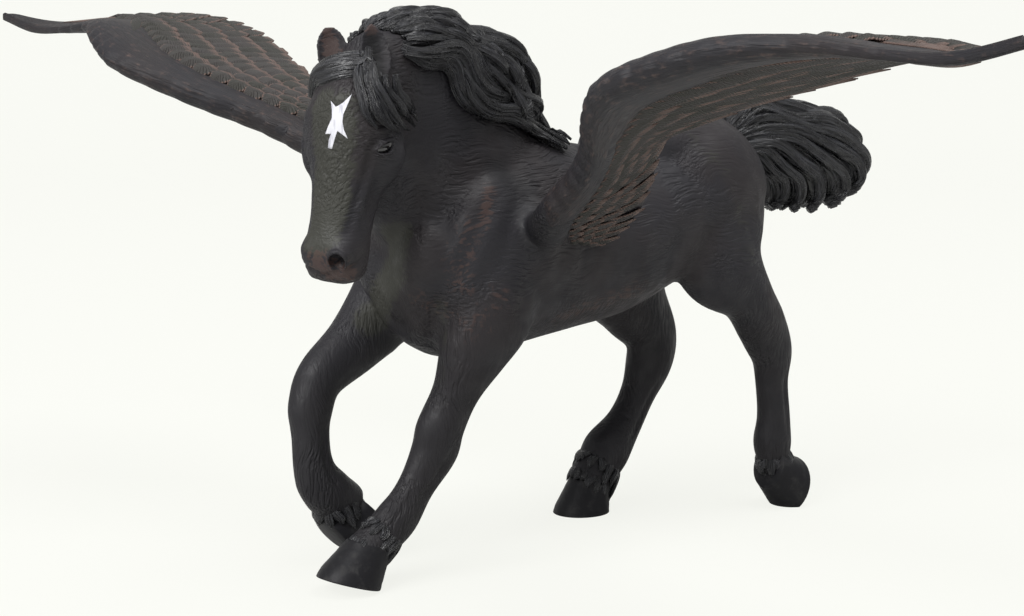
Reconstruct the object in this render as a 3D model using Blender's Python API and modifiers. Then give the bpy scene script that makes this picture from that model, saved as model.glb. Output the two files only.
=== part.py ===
"""Winged horse figurine, moulded in one piece.

The horse trots on three hooves with its right foreleg raised, its head turned
to its left and both wings spread. It faces -Y, its left side is +X, and the
ground is the plane Z = 0, with the origin under the middle of the figure.

Lengths below are millimetres. MM turns them into Blender's metres.
"""

import math

import bmesh
import bpy
from mathutils import Matrix, Vector

MM = 0.001

# Driving dimensions of the torso, from the point of the chest to the buttocks
CHEST_Y = -47.0
BUTTOCK_Y = 45.5
BACK_HEIGHT = 80.5
BELLY_HEIGHT = 42.9
BARREL_WIDTH = 37.0

# Neck and head
POLL = (7.7, -58.3, BACK_HEIGHT + 15.3)
HEAD_LENGTH = 37.5
HEAD_WIDTH = 16.3
HEAD_YAW = 25.0
HEAD_PITCH = 15.0
EAR_LENGTH = 10.5
EAR_WIDTH = 5.6

# Hooves and the hair above them
HOOF_LENGTH = 13.0
HOOF_WIDTH = 11.5
HOOF_HEIGHT = 7.6
FETLOCK_LOCK_RADIUS = 1.0
FETLOCK_LOCK_LENGTH = 8.0
FETLOCK_SPREAD = 150.0

# Wings
WING_ARM_RADIUS = 2.4
WING_SHEET = 1.5
FEATHER_THICKNESS = 1.2
FEATHER_TILT = 0.30
FEATHER_ROOM = 0.22
TIP_FEATHER_WIDTH = 3.4

# Hair
MANE_LOCK_RADIUS = 1.9
FORELOCK_RADIUS = 1.15
TAIL_LENGTH = 37.8
TAIL_LOCK_RADIUS = 2.2

# The block that cuts the soles flat at the ground
GROUND_CUT_WIDTH = 400.0
GROUND_CUT_DEPTH = 40.0

# Fineness of the fused surface
BODY_VOXEL = 0.8
BODY_SOFTENING = 6
DETAIL_VOXEL = 0.48
DETAIL_SOFTENING = 2
TRIANGLE_SHARE = 0.0198

# Torso stations: share of the length, top and bottom as shares of the barrel's
# depth, half width as a share of the barrel's half width
TORSO = (
    (0.00, 0.62, 0.30, 0.30),
    (0.04, 0.78, 0.07, 0.62),
    (0.11, 0.92, -0.05, 0.84),
    (0.21, 1.03, -0.08, 0.95),
    (0.33, 1.07, -0.04, 0.95),
    (0.46, 1.00, 0.00, 0.98),
    (0.58, 0.97, 0.04, 1.00),
    (0.70, 1.06, 0.14, 0.98),
    (0.80, 1.15, 0.25, 0.97),
    (0.90, 1.10, 0.34, 0.90),
    (0.96, 0.97, 0.46, 0.72),
    (1.00, 0.82, 0.58, 0.42),
)

# Neck stations from the chest to the poll: centre, half width, half depth
NECK = (
    ((0.0, -25.0, BACK_HEIGHT - 14.5), 12.5, 17.5),
    ((0.3, -31.5, BACK_HEIGHT - 6.5), 11.5, 19.0),
    ((1.0, -37.0, BACK_HEIGHT + 0.5), 9.8, 19.0),
    ((2.6, -42.5, BACK_HEIGHT + 7.0), 8.4, 17.0),
    ((4.4, -48.0, BACK_HEIGHT + 11.0), 7.4, 13.5),
    ((6.2, -53.5, BACK_HEIGHT + 13.5), 6.8, 10.5),
    ((7.7, -58.0, BACK_HEIGHT + 15.1), 6.0, 7.5),
)

# Head stations from the poll to the lips: share of the length, reach to the
# front, reach to the back and half width, as shares of the head's width
HEAD = (
    (-0.06, 0.12, 0.20, 0.24),
    (0.00, 0.26, 0.36, 0.36),
    (0.10, 0.40, 0.56, 0.45),
    (0.22, 0.47, 0.74, 0.50),
    (0.33, 0.46, 0.82, 0.49),
    (0.44, 0.41, 0.76, 0.43),
    (0.56, 0.36, 0.58, 0.37),
    (0.68, 0.34, 0.42, 0.35),
    (0.80, 0.34, 0.37, 0.35),
    (0.90, 0.33, 0.37, 0.35),
    (0.97, 0.24, 0.33, 0.32),
    (1.01, 0.06, 0.22, 0.18),
)

# Leg stations from inside the torso to the pastern: centre, half width across
# the horse and half depth from front to back
LEFT_FORE = (
    ((11.5, -29.0, BELLY_HEIGHT + 17.1), 6.0, 10.0),
    ((12.0, -31.0, BELLY_HEIGHT + 8.1), 6.4, 9.4),
    ((11.5, -35.3, 43.0), 5.6, 7.2),
    ((10.2, -38.5, 35.5), 4.3, 4.7),
    ((9.2, -41.4, 29.0), 4.3, 4.7),
    ((8.4, -42.2, 24.5), 4.0, 4.8),
    ((7.6, -46.1, 18.0), 3.1, 3.8),
    ((6.9, -49.8, 12.6), 3.5, 4.3),
    ((6.2, -53.9, 9.0), 3.8, 4.0),
    ((5.8, -57.2, 6.5), 4.0, 4.0),
)
RIGHT_FORE = (
    ((-12.0, -31.0, BELLY_HEIGHT + 16.1), 6.0, 10.0),
    ((-13.0, -36.0, BELLY_HEIGHT + 7.6), 6.4, 9.0),
    ((-13.8, -44.3, 42.5), 5.2, 6.3),
    ((-13.4, -53.0, 36.6), 4.4, 4.9),
    ((-12.9, -55.6, 31.0), 4.0, 4.5),
    ((-12.5, -56.0, 25.5), 3.5, 3.8),
    ((-12.2, -55.4, 19.0), 3.7, 4.2),
    ((-12.0, -52.6, 14.4), 4.6, 5.0),
    ((-12.0, -49.2, 12.2), 4.3, 4.4),
    ((-12.0, -47.2, 10.8), 4.0, 4.0),
)
LEFT_HIND = (
    ((10.0, 28.0, BELLY_HEIGHT + 21.1), 8.0, 15.0),
    ((11.8, 30.4, BELLY_HEIGHT + 11.1), 7.0, 10.6),
    ((12.6, 37.0, 46.6), 5.6, 6.0),
    ((12.4, 41.8, 40.2), 4.7, 5.8),
    ((12.2, 45.3, 34.0), 4.0, 5.0),
    ((12.0, 45.8, 27.5), 3.2, 3.9),
    ((12.0, 46.6, 20.0), 3.4, 3.8),
    ((12.0, 46.4, 14.0), 3.9, 4.4),
    ((12.1, 47.0, 10.0), 3.4, 3.6),
    ((12.2, 49.0, 6.5), 4.2, 4.2),
)
RIGHT_HIND = (
    ((-10.0, 22.0, BELLY_HEIGHT + 21.1), 8.0, 14.0),
    ((-11.4, 22.0, BELLY_HEIGHT + 9.1), 7.4, 12.0),
    ((-11.6, 27.2, 43.5), 6.0, 8.8),
    ((-11.4, 32.6, 36.0), 4.6, 6.3),
    ((-11.2, 31.8, 30.0), 4.2, 5.8),
    ((-11.1, 28.4, 23.5), 3.4, 4.3),
    ((-11.0, 24.4, 17.6), 3.5, 4.4),
    ((-11.0, 19.6, 12.6), 4.6, 5.6),
    ((-11.0, 16.4, 8.6), 4.3, 5.2),
    ((-11.0, 13.8, 5.0), 4.8, 5.3),
)

# Each leg with its hoof: middle of the sole, direction of the toe and of the
# sole's inner side
LEGS = {
    "left_fore": (LEFT_FORE, ((5.4, -59.2, 1.2), (-0.10, -0.93, 0.30), (0.0, 0.32, 0.95))),
    "right_fore": (RIGHT_FORE, ((-12.0, -43.8, 8.8), (0.0, 0.62, -0.78), (0.0, -0.80, -0.60))),
    "left_hind": (LEFT_HIND, ((12.4, 51.8, 4.2), (0.0, -0.30, -0.95), (0.0, -0.92, 0.38))),
    "right_hind": (RIGHT_HIND, ((-11.0, 12.2, -0.7), (0.0, -1.0, 0.0), (0.0, 0.0, 1.0))),
}

# Muscles and the base of the mane: centre, half sizes and tilt about X in degrees
MUSCLES = (
    ((10.5, -33.0, BACK_HEIGHT - 18.5), (6.5, 9.5, 15.0), -18.0),
    ((-10.5, -34.0, BACK_HEIGHT - 18.5), (6.5, 9.5, 15.0), -18.0),
    ((6.0, -43.0, BACK_HEIGHT - 20.5), (6.5, 5.0, 9.0), 0.0),
    ((-6.0, -43.0, BACK_HEIGHT - 20.5), (6.5, 5.0, 9.0), 0.0),
    ((10.0, 27.0, BACK_HEIGHT - 12.5), (8.5, 15.5, 15.0), 20.0),
    ((-10.0, 25.0, BACK_HEIGHT - 12.5), (8.5, 15.5, 15.0), 20.0),
    ((5.0, 23.0, BACK_HEIGHT - 2.0), (9.0, 16.0, 7.2), 0.0),
    ((-5.0, 23.0, BACK_HEIGHT - 2.0), (9.0, 16.0, 7.2), 0.0),
    ((0.9, -22.0, BACK_HEIGHT + 12.5), (5.5, 6.5, 13.0), 40.0),
    ((13.5, -14.0, BACK_HEIGHT - 14.5), (5.0, 13.0, 8.0), 10.0),
    ((-13.5, -14.0, BACK_HEIGHT - 14.5), (5.0, 13.0, 8.0), 10.0),
)

# Wing stations from the shoulder to the tip: leading edge, trailing edge and
# the arm's girth there as a share of its full radius
WING = (
    ((9.0, -20.0, BACK_HEIGHT - 17.5), (11.0, -7.0, BACK_HEIGHT - 20.5), 1.75),
    ((18.5, -26.5, BACK_HEIGHT - 14.0), (19.0, -7.0, BACK_HEIGHT - 17.5), 1.50),
    ((29.0, -33.0, BACK_HEIGHT - 9.3), (27.0, -7.5, BACK_HEIGHT - 11.0), 1.25),
    ((39.5, -36.2, BACK_HEIGHT - 3.5), (36.0, -12.5, BACK_HEIGHT - 3.0), 1.10),
    ((49.8, -40.8, BACK_HEIGHT + 2.1), (46.0, -19.5, BACK_HEIGHT + 4.0), 1.10),
    ((61.5, -49.8, BACK_HEIGHT + 7.8), (57.0, -19.5, BACK_HEIGHT + 7.6), 1.10),
    ((74.0, -58.4, BACK_HEIGHT + 13.6), (68.0, -16.5, BACK_HEIGHT + 11.2), 1.10),
    ((83.5, -58.4, BACK_HEIGHT + 17.2), (80.0, -13.0, BACK_HEIGHT + 14.3), 1.10),
    ((94.0, -54.6, BACK_HEIGHT + 20.3), (92.0, -10.5, BACK_HEIGHT + 17.5), 1.00),
    ((106.0, -50.0, BACK_HEIGHT + 21.5), (106.0, -13.0, BACK_HEIGHT + 20.5), 0.70),
    ((120.0, -50.5, BACK_HEIGHT + 21.3), (118.0, -21.5, BACK_HEIGHT + 21.9), 0.36),
    ((133.0, -50.8, BACK_HEIGHT + 21.5), (130.0, -35.0, BACK_HEIGHT + 22.3), 0.34),
    ((145.0, -51.6, BACK_HEIGHT + 23.1), (143.6, -46.8, BACK_HEIGHT + 23.6), 0.30),
)

# How full the mane is from the poll to the chest, and its notch's share of the neck
CREST = ((0.10,), (0.20,), (0.42,), (0.70,), (1.10,), (1.40,), (1.55,), (1.55,), (1.30,))
MANE_NOTCH = 0.52
MANE_NOTCH_WIDTH = 0.045
MANE_NOTCH_DEPTH = 0.5

# Mane layers: count, first and last root share, root angle, fall, sweep back, lift
MANE_LAYERS = (
    (9, 0.48, 0.98, -14.0, 12.0, 0.42, 4.2),
    (10, 0.44, 0.98, -2.0, 18.0, 0.42, 4.2),
    (11, 0.42, 0.97, 10.0, 22.0, 0.38, 3.4),
    (11, 0.38, 0.96, 20.0, 20.0, 0.34, 2.2),
    (10, 0.40, 0.95, 30.0, 14.0, 0.28, 1.0),
    (9, 0.42, 0.97, -30.0, -28.0, 0.34, 2.0),
)

# Tail layers: count, reach as a share of the tail's length, arch, drop, half spread
TAIL_LAYERS = (
    (5, 0.92, 8.0, 4.5, 3.5),
    (7, 0.98, 6.5, 8.0, 6.0),
    (7, 0.96, 4.6, 10.2, 7.0),
    (6, 0.84, 2.4, 11.0, 6.5),
    (5, 0.62, 0.4, 10.4, 5.0),
    (5, 0.44, -1.2, 9.8, 4.2),
    (4, 0.30, -2.5, 8.6, 3.4),
)

# Feather rows: side, count, first and last span share, chord share at the root and
# at the tip, run along the span, width and lift off the row below
FEATHER_ROWS = (
    (1, 15, 0.14, 0.78, 0.62, 1.03, 0.05, 6.8, 0.0),
    (1, 14, 0.16, 0.76, 0.42, 0.84, 0.05, 6.8, 0.2),
    (1, 13, 0.18, 0.74, 0.22, 0.62, 0.05, 6.4, 0.4),
    (-1, 20, 0.07, 0.76, 0.54, 1.03, 0.12, 4.6, 0.0),
    (-1, 19, 0.09, 0.74, 0.42, 0.84, 0.12, 4.6, 0.35),
    (-1, 18, 0.11, 0.72, 0.29, 0.64, 0.12, 4.4, 0.7),
)

# A wing's section: share of the chord, half thickness as a share of the arm's
WING_PROFILE = (
    (0.0, 0.0), (0.02, 0.62), (0.07, 0.95), (0.15, 1.0), (0.26, 0.80),
    (0.40, 0.50), (0.6, 0.32), (0.85, 0.26), (1.0, 0.12), (1.1, 0.10),
)

# A feather from root to tip: width and thickness as shares of the fullest
VANE = ((0.45, 0.6), (0.75, 0.8), (0.95, 1.0), (1.0, 1.0), (0.96, 0.9), (0.74, 0.7), (0.16, 0.3))

# Each wing's side and how far its outer trailing edge is bent up
WINGS = (("left", 1, 0.0), ("right", -1, 2.2))


def clear_scene():
    for old in list(bpy.data.objects):
        bpy.data.objects.remove(old)


def new_collection(name):
    made = bpy.data.collections.new(name)
    bpy.context.scene.collection.children.link(made)
    return made


def blend(a, b, share):
    """The value or the nested tuple of values this share of the way from a to b."""
    if isinstance(a, (int, float)):
        return a + (b - a) * share
    return tuple(blend(x, y, share) for x, y in zip(a, b))


def catmull(p0, p1, p2, p3, t):
    """One value or nested tuple on the smooth curve between p1 and p2."""
    if isinstance(p1, (int, float)):
        return 0.5 * (
            2 * p1
            + (p2 - p0) * t
            + (2 * p0 - 5 * p1 + 4 * p2 - p3) * t * t
            + (3 * p1 - p0 - 3 * p2 + p3) * t**3
        )
    return tuple(catmull(*column, t) for column in zip(p0, p1, p2, p3))


def along(stations, share):
    """The station at this share of a smooth curve through the stations."""
    last = len(stations) - 1
    place = min(max(share, 0.0), 1.0) * last
    first = min(int(place), last - 1)
    rows = [stations[min(max(first + k, 0), last)] for k in (-1, 0, 1, 2)]
    return catmull(*rows, place - first)


def station_share(stations, value):
    """How far along the stations their first value reaches this value."""
    last = len(stations) - 1
    for k in range(last):
        low, high = stations[k][0], stations[k + 1][0]
        if value <= high:
            return (k + max(value - low, 0.0) / (high - low)) / last
    return 1.0


def closed_mesh(name, rings):
    """A loft through rings of points, closed at both ends by a fan of faces."""
    mesh = bmesh.new()
    made = [[mesh.verts.new(point * MM) for point in ring] for ring in rings]
    for first, second in zip(made, made[1:]):
        for k in range(len(first)):
            following = (k + 1) % len(first)
            mesh.faces.new((first[k], first[following], second[following], second[k]))
    mesh.faces.new(reversed(made[0]))
    mesh.faces.new(made[-1])
    bmesh.ops.recalc_face_normals(mesh, faces=mesh.faces)
    return mesh_object(name, mesh)


def mesh_object(name, mesh):
    data = bpy.data.meshes.new(name)
    mesh.to_mesh(data)
    mesh.free()
    return bpy.data.objects.new(name, data)


def oval(centre, across, over, under=None, sides=24):
    """An egg-shaped ring: across to both sides, over and under at its ends."""
    under = -over if under is None else under
    ring = []
    for k in range(sides):
        angle = math.tau * k / sides
        reach = over * math.sin(angle) if math.sin(angle) > 0 else -under * math.sin(angle)
        ring.append(centre + across * math.cos(angle) + reach)
    return ring


def tube(name, stations, steps=5, side=Vector((1, 0, 0))):
    """A limb: ovals along a smooth path, wide along side and deep across it."""
    count = (len(stations) - 1) * steps + 1
    rows = [along(stations, k / (count - 1)) for k in range(count)]
    centres = [Vector(row[0]) for row in rows]
    rings = []
    for k, (_, half_width, half_depth) in enumerate(rows):
        run = centres[min(k + 1, count - 1)] - centres[max(k - 1, 0)]
        deep = run.cross(side).normalized()
        wide = deep.cross(run).normalized()
        rings.append(oval(centres[k], wide * half_width, deep * half_depth))
    return closed_mesh(name, rings)


def torso():
    depth = BACK_HEIGHT - BELLY_HEIGHT
    rings = []
    count = 45
    for k in range(count):
        share, top, bottom, half = along(TORSO, k / (count - 1))
        y = blend(CHEST_Y, BUTTOCK_Y, share)
        high = BELLY_HEIGHT + depth * top
        low = BELLY_HEIGHT + depth * bottom
        centre = Vector((0, y, low + (high - low) * 0.48))
        across = Vector((BARREL_WIDTH / 2 * half, 0, 0))
        over = Vector((0, 0, high - centre.z))
        under = Vector((0, 0, low - centre.z))
        rings.append(oval(centre, across, over, under, 36))
    return closed_mesh("torso", rings)


def head_frame():
    """The head's axes: across to its left, forward from the face, down the nose."""
    turn = Matrix.Rotation(math.radians(HEAD_YAW), 3, "Z")
    tip = Matrix.Rotation(math.radians(-HEAD_PITCH), 3, "X")
    frame = turn @ tip
    return frame @ Vector((1, 0, 0)), frame @ Vector((0, -1, 0)), frame @ Vector((0, 0, -1))


def head_point(across, forward, down):
    """A point of the head, in head widths to its left and forward, lengths down."""
    left, front, nose = head_frame()
    offset = left * across * HEAD_WIDTH + front * forward * HEAD_WIDTH
    return Vector(POLL) + offset + nose * down * HEAD_LENGTH


def face_point(angle, down, lift=0.0):
    """A point of the head: angle in degrees from the front of the face towards
    its left, share of the length down, and lift off the surface."""
    left, front, _ = head_frame()
    _, reach_front, reach_back, half = along(HEAD, station_share(HEAD, down))
    turn = math.radians(angle)
    reach = reach_front if math.cos(turn) > 0 else reach_back
    sideways = left * math.sin(turn) * (half * HEAD_WIDTH + lift)
    forward = front * math.cos(turn) * (reach * HEAD_WIDTH + lift)
    return head_point(0, 0, down) + sideways + forward


def head():
    left, front, _ = head_frame()
    rings = []
    count = 45
    for k in range(count):
        share, reach_front, reach_back, half = along(HEAD, k / (count - 1))
        centre = head_point(0, 0, share)
        across = left * half * HEAD_WIDTH
        over = front * reach_front * HEAD_WIDTH
        under = -front * reach_back * HEAD_WIDTH
        rings.append(oval(centre, across, over, under, 28))
    return closed_mesh("head", rings)


def pad(name, centre, half, tilt=0.0, turn=0.0):
    """An ellipsoid for a muscle or a swelling."""
    place = Matrix.Translation(Vector(centre) * MM)
    place @= Matrix.Rotation(math.radians(turn), 4, "Z")
    place @= Matrix.Rotation(math.radians(tilt), 4, "X")
    place @= Matrix.Diagonal((*(Vector(half) * MM), 1))
    mesh = bmesh.new()
    bmesh.ops.create_uvsphere(mesh, u_segments=24, v_segments=14, radius=1, matrix=place)
    return mesh_object(name, mesh)


def neck_point(share, angle, lift=0.0):
    """A point on the neck: share from the chest to the poll, angle in degrees from
    the crest towards the horse's left, and lift off the surface."""
    centre, half_width, half_depth = along(NECK, share)
    ahead = Vector(along(NECK, min(share + 0.05, 1))[0])
    behind = Vector(along(NECK, max(share - 0.05, 0))[0])
    run = (ahead - behind).normalized()
    back = Vector((1, 0, 0)).cross(run).normalized()
    if back.z < 0:
        back.negate()
    side = run.cross(back)
    if side.x < 0:
        side.negate()
    turn = math.radians(angle)
    wide = (half_width + lift) * math.sin(turn)
    deep = (half_depth + lift) * math.cos(turn)
    return Vector(centre) + side * wide + back * deep


def lock(name, points, radius, taper=(0.7, 1.0, 1.0, 0.85, 0.35)):
    """A lock of hair: a bevelled curve that swells and thins to its tip."""
    data = bpy.data.curves.new(name, "CURVE")
    data.dimensions = "3D"
    data.bevel_depth = radius * MM
    data.bevel_resolution = 2
    data.resolution_u = 4
    data.use_fill_caps = True
    spline = data.splines.new("NURBS")
    spline.points.add(len(points) - 1)
    for k, point in enumerate(points):
        girth = along([(value,) for value in taper], k / (len(points) - 1))[0]
        spline.points[k].co = (*(Vector(point) * MM), 1)
        spline.points[k].radius = girth
    spline.order_u = 3
    spline.use_endpoint_u = True
    return bpy.data.objects.new(name, data)


def crest_rise(share, lift):
    """How high the mane stands at this share of the neck: two masses and a notch."""
    full = along(CREST, 1 - share)[0]
    notch = 1 - MANE_NOTCH_DEPTH * math.exp(-(((share - MANE_NOTCH) / MANE_NOTCH_WIDTH) ** 2))
    return lift * full * notch


def mane():
    """Wavy locks that start at the crest and sweep back along it and down the left
    of the neck, in layers that draw together in clumps, with two layers on the right."""
    locks = []
    steps = 8
    for layer, (count, first, last, root, fall, sweep, lift) in enumerate(MANE_LAYERS):
        for k in range(count):
            share = blend(first, last, k / (count - 1))
            length = 1.0 + 0.22 * math.sin(2.1 * k + 1.3 * layer)
            points = []
            for step in range(steps):
                run = step / (steps - 1)
                curl = math.sin(math.tau * 1.2 * run + 1.1 * layer + 7.0 * share)
                angle = root + fall * run**1.3 * (1.0 + 0.25 * math.sin(1.9 * k)) + 8.0 * curl * run
                back = max(share - sweep * length * run, 0.05)
                rise = crest_rise(back, lift) * math.sin(math.pi * (0.25 + 0.68 * run)) + 1.0 * curl * run
                points.append(neck_point(back, angle, rise))
            locks.append(lock(f"mane_lock_{layer}_{k}", points, MANE_LOCK_RADIUS))
    return locks


def forelock():
    """A band across the brow and a fan of locks that curl down beside the left eye."""
    brow = ((5, -0.04, 0.8), (-15, 0.03, 1.2), (-40, 0.07, 1.2), (-62, 0.10, 0.9), (-85, 0.14, 0.2))
    locks = [lock("brow_band", [face_point(*p) for p in brow], FORELOCK_RADIUS * 1.15)]
    count = 6
    for k in range(count):
        spread = k / (count - 1)
        points = (
            face_point(4 + 22 * spread, -0.05, 0.6),
            face_point(18 + 20 * spread, 0.05, 1.6),
            face_point(30 + 26 * spread, 0.14, 1.7),
            face_point(38 + 34 * spread, 0.21, 1.3),
            face_point(50 + 38 * spread, 0.265 - 0.02 * spread, 1.0),
            face_point(60 + 38 * spread, 0.275 - 0.05 * spread, 0.8),
        )
        locks.append(lock(f"forelock_{k}", points, FORELOCK_RADIUS))
    return locks


def tail():
    """A short bushy tail: locks that leave the dock together, arch back and fall."""
    dock = Vector((0.5, BUTTOCK_Y - 6.5, BACK_HEIGHT - 3.5))
    locks = []
    for layer, (count, reach, arch, drop, spread) in enumerate(TAIL_LAYERS):
        for k in range(count):
            x = spread * blend(-1.0, 1.0, k / (count - 1))
            length = TAIL_LENGTH * reach * (1.0 + 0.05 * math.sin(2.7 * k + layer))
            sag = drop * (1.0 + 0.10 * math.cos(1.9 * k + layer)) + 0.16 * abs(x)
            points = (
                dock + Vector((0.15 * x, 0, 0.3 * arch)),
                dock + Vector((0.45 * x, 0.25 * length, 1.15 * arch)),
                dock + Vector((0.85 * x, 0.52 * length, arch - 0.05 * sag)),
                dock + Vector((1.05 * x + 0.5, 0.78 * length, arch - 0.35 * sag)),
                dock + Vector((1.00 * x + 1.0, 0.97 * length, arch - 0.75 * sag)),
                dock + Vector((0.80 * x + 1.4, 1.00 * length, arch - 1.05 * sag)),
                dock + Vector((0.70 * x + 1.4, 0.93 * length, arch - 1.20 * sag)),
            )
            locks.append(lock(f"tail_lock_{layer}_{k}", points, TAIL_LOCK_RADIUS))
    return locks


def ear(name, across, lean):
    """A leaf-shaped ear, hollowed at the front."""
    left, front, nose = head_frame()
    base = head_point(across, -0.04, 0.03)
    up = (-nose + left * lean + front * 0.05).normalized()
    rings = []
    outline = ((0.0, 0.62), (0.2, 0.85), (0.45, 1.0), (0.7, 0.80), (0.9, 0.45), (1.0, 0.14))
    for share, half in outline:
        centre = base + up * EAR_LENGTH * share
        wide = left * EAR_WIDTH / 2 * half
        rings.append(oval(centre, wide, front * 0.7 * half, -front * 1.7 * half, 16))
    return closed_mesh(name, rings)


def hoof(name, sole, toe, inside):
    """A hoof: its sole, its wall and its coronet, tilted with the toe."""
    toe = Vector(toe).normalized()
    inside = Vector(inside)
    inside = (inside - toe * inside.dot(toe)).normalized()
    across = toe.cross(inside)
    rings = []
    profile = (
        # rise, girth and lean back, as shares of the hoof
        (0.0, 1.0, 0.0), (0.25, 0.97, -0.03), (0.7, 0.82, -0.12), (1.0, 0.74, -0.19), (1.1, 0.55, -0.2),
    )
    for rise, girth, lean in profile:
        centre = Vector(sole) + inside * HOOF_HEIGHT * rise + toe * HOOF_LENGTH * lean
        long_way = toe * HOOF_LENGTH / 2 * girth
        rings.append(oval(centre, across * HOOF_WIDTH / 2 * girth, long_way, -long_way * 0.9, 24))
    return closed_mesh(name, rings)


def wing_edges(wing, share):
    """One wing's leading and trailing edge points and its arm's girth."""
    _, side, bend = wing
    leading, trailing, girth = along(WING, share)
    outer = min(max((share - 0.55) / 0.25, 0.0), 1.0)
    leading = Vector((side * leading[0], leading[1], leading[2] - 0.25 * bend * outer))
    trailing = Vector((side * trailing[0], trailing[1], trailing[2] + bend * outer))
    return leading, trailing, girth


def wing_frame(wing, share):
    """The wing's leading edge, its chord and its upward direction."""
    leading, trailing, _ = wing_edges(wing, share)
    ahead = wing_edges(wing, min(share + 0.02, 1))[0]
    behind = wing_edges(wing, max(share - 0.02, 0))[0]
    chord = trailing - leading
    out = (ahead - behind).normalized()
    up = out.cross(chord).normalized() * wing[1]
    return leading, chord, up


def wing_surface(wing, share, place, side):
    """A point on the wing's upper or lower face and the direction out of it."""
    leading, chord, up = wing_frame(wing, share)
    arm = WING_ARM_RADIUS * wing_edges(wing, share)[2]
    high = along(WING_PROFILE, station_share(WING_PROFILE, place))[1]
    rise = max(arm * high, WING_SHEET / 2 * min(1.0, high * 3))
    return leading + chord * place + up * side * rise, up * side


def wing_sheet(wing):
    """The wing's core: a rounded arm along the leading edge, thinning to a sheet."""
    places = [place for place, _ in WING_PROFILE if place <= 1]
    rings = []
    count = 61
    for k in range(count):
        share = k / (count - 1)
        over = [wing_surface(wing, share, place, 1)[0] for place in places]
        under = [wing_surface(wing, share, place, -1)[0] for place in places]
        rings.append(over + under[:0:-1])
    return closed_mesh("wing_sheet", rings)


def feather(name, wing, side, start, end, width, lift=0.0):
    """A vane that lies on a face of the wing, from one span and chord share to
    another: narrow where it is covered, widest near its rounded tip."""
    steps = len(VANE) - 1
    places = [wing_surface(wing, *blend(start, end, k / steps), side) for k in range(steps + 1)]
    rings = []
    for k, (point, out) in enumerate(places):
        run = places[min(k + 1, steps)][0] - places[max(k - 1, 0)][0]
        over = (out - run * out.dot(run) / run.length_squared).normalized()
        across = run.cross(over).normalized()
        half, thick = VANE[k]
        room = wing_frame(wing, blend(start, end, k / steps)[0])[1].length * FEATHER_ROOM
        centre = point + over * (lift + FEATHER_TILT * k / steps)
        across *= min(width / 2 * half, room)
        rings.append(oval(centre, across, over * FEATHER_THICKNESS / 2 * thick, None, 12))
    return closed_mesh(name, rings)


def wing_feathers(wing):
    """Rows of feathers that overlap like tiles, on both faces of the wing."""
    feathers = []
    for row, (side, count, first, last, root, tip, along_span, width, lift) in enumerate(FEATHER_ROWS):
        for k in range(count):
            share = blend(first, last, k / (count - 1))
            run = along_span * min(1.0, 0.2 + 2.0 * (share - first))
            end = (share + run, tip + 0.02 * math.sin(2.3 * k + row))
            feathers.append(feather(f"feather_{row}_{k}", wing, side, (share, root), end, width, lift))
    return feathers


def tip_feathers(wing):
    """The long outer feathers that run from the wrist to the wing's tip."""
    feathers = []
    count = 6
    for k in range(count):
        spread = k / (count - 1)
        start = (0.56, blend(0.14, 0.70, spread))
        end = (blend(0.99, 0.80, spread), blend(0.55, 0.99, spread))
        for side in (1, -1):
            feathers.append(feather(f"tip_feather_{side}_{k}", wing, side, start, end, TIP_FEATHER_WIDTH))
    return feathers


def fetlock_hair(name, leg, hoof_shape):
    """Flat locks that lie from the pastern down over the hoof, all round it."""
    centre, half_width, half_depth = along(leg, 0.87)
    centre = Vector(centre)
    sole, toe, inside = (Vector(value) for value in hoof_shape)
    crown = sole + inside.normalized() * HOOF_HEIGHT * 0.62 - toe.normalized() * HOOF_LENGTH * 0.10
    run = (crown - centre).normalized()
    side = Vector((1, 0, 0))
    back = side.cross(run).normalized()
    locks = []
    count = 11
    for k in range(count):
        angle = math.radians(blend(-FETLOCK_SPREAD, FETLOCK_SPREAD, k / (count - 1)))
        outward = back * math.cos(angle) * half_depth + side * math.sin(angle) * half_width
        length = FETLOCK_LOCK_LENGTH * (0.72 + 0.28 * math.cos(angle))
        points = (
            centre + outward * 0.72,
            centre + outward * 0.98 + run * length * 0.35,
            centre + outward * 1.06 + run * length * 0.70,
            centre + outward * 1.02 + run * length,
        )
        locks.append(lock(f"{name}_{k}", points, FETLOCK_LOCK_RADIUS))
    return locks


def solid_mesh(obj):
    """The evaluated mesh of a mesh or curve object, with a curve's caps welded."""
    if obj.name not in bpy.context.scene.collection.objects:
        bpy.context.scene.collection.objects.link(obj)
    graph = bpy.context.evaluated_depsgraph_get()
    data = bpy.data.meshes.new_from_object(obj.evaluated_get(graph))
    data.transform(obj.matrix_world)
    return data


def joined(name, pieces):
    """One object that holds the meshes of all the pieces, which are removed."""
    for piece in pieces:
        bpy.context.scene.collection.objects.link(piece)
    bpy.context.view_layer.update()
    mesh = bmesh.new()
    for piece in pieces:
        mesh.from_mesh(solid_mesh(piece))
    bmesh.ops.remove_doubles(mesh, verts=mesh.verts, dist=0.00001)
    for piece in pieces:
        bpy.data.objects.remove(piece)
    made = mesh_object(name, mesh)
    bpy.context.scene.collection.objects.link(made)
    return made


def fuse(obj, voxel, rounds):
    remesh = obj.modifiers.new("fuse", "REMESH")
    remesh.mode = "VOXEL"
    remesh.voxel_size = voxel * MM
    soften = obj.modifiers.new("soften", "SMOOTH")
    soften.iterations = rounds
    soften.factor = 0.5


def wing_arms():
    """The fleshy arms that carry the wings, from the shoulders to the wrists."""
    arms = []
    for name, side, _ in WINGS:
        stations = []
        for leading, trailing, girth in WING[:7]:
            x, y, z = blend(leading, trailing, 0.16)
            radius = WING_ARM_RADIUS * girth * 0.95
            stations.append(((side * x, y, z), radius, radius * 1.3))
        arms.append(tube(f"{name}_arm", stations, 5, Vector((0, 0, 1))))
    return arms


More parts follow.
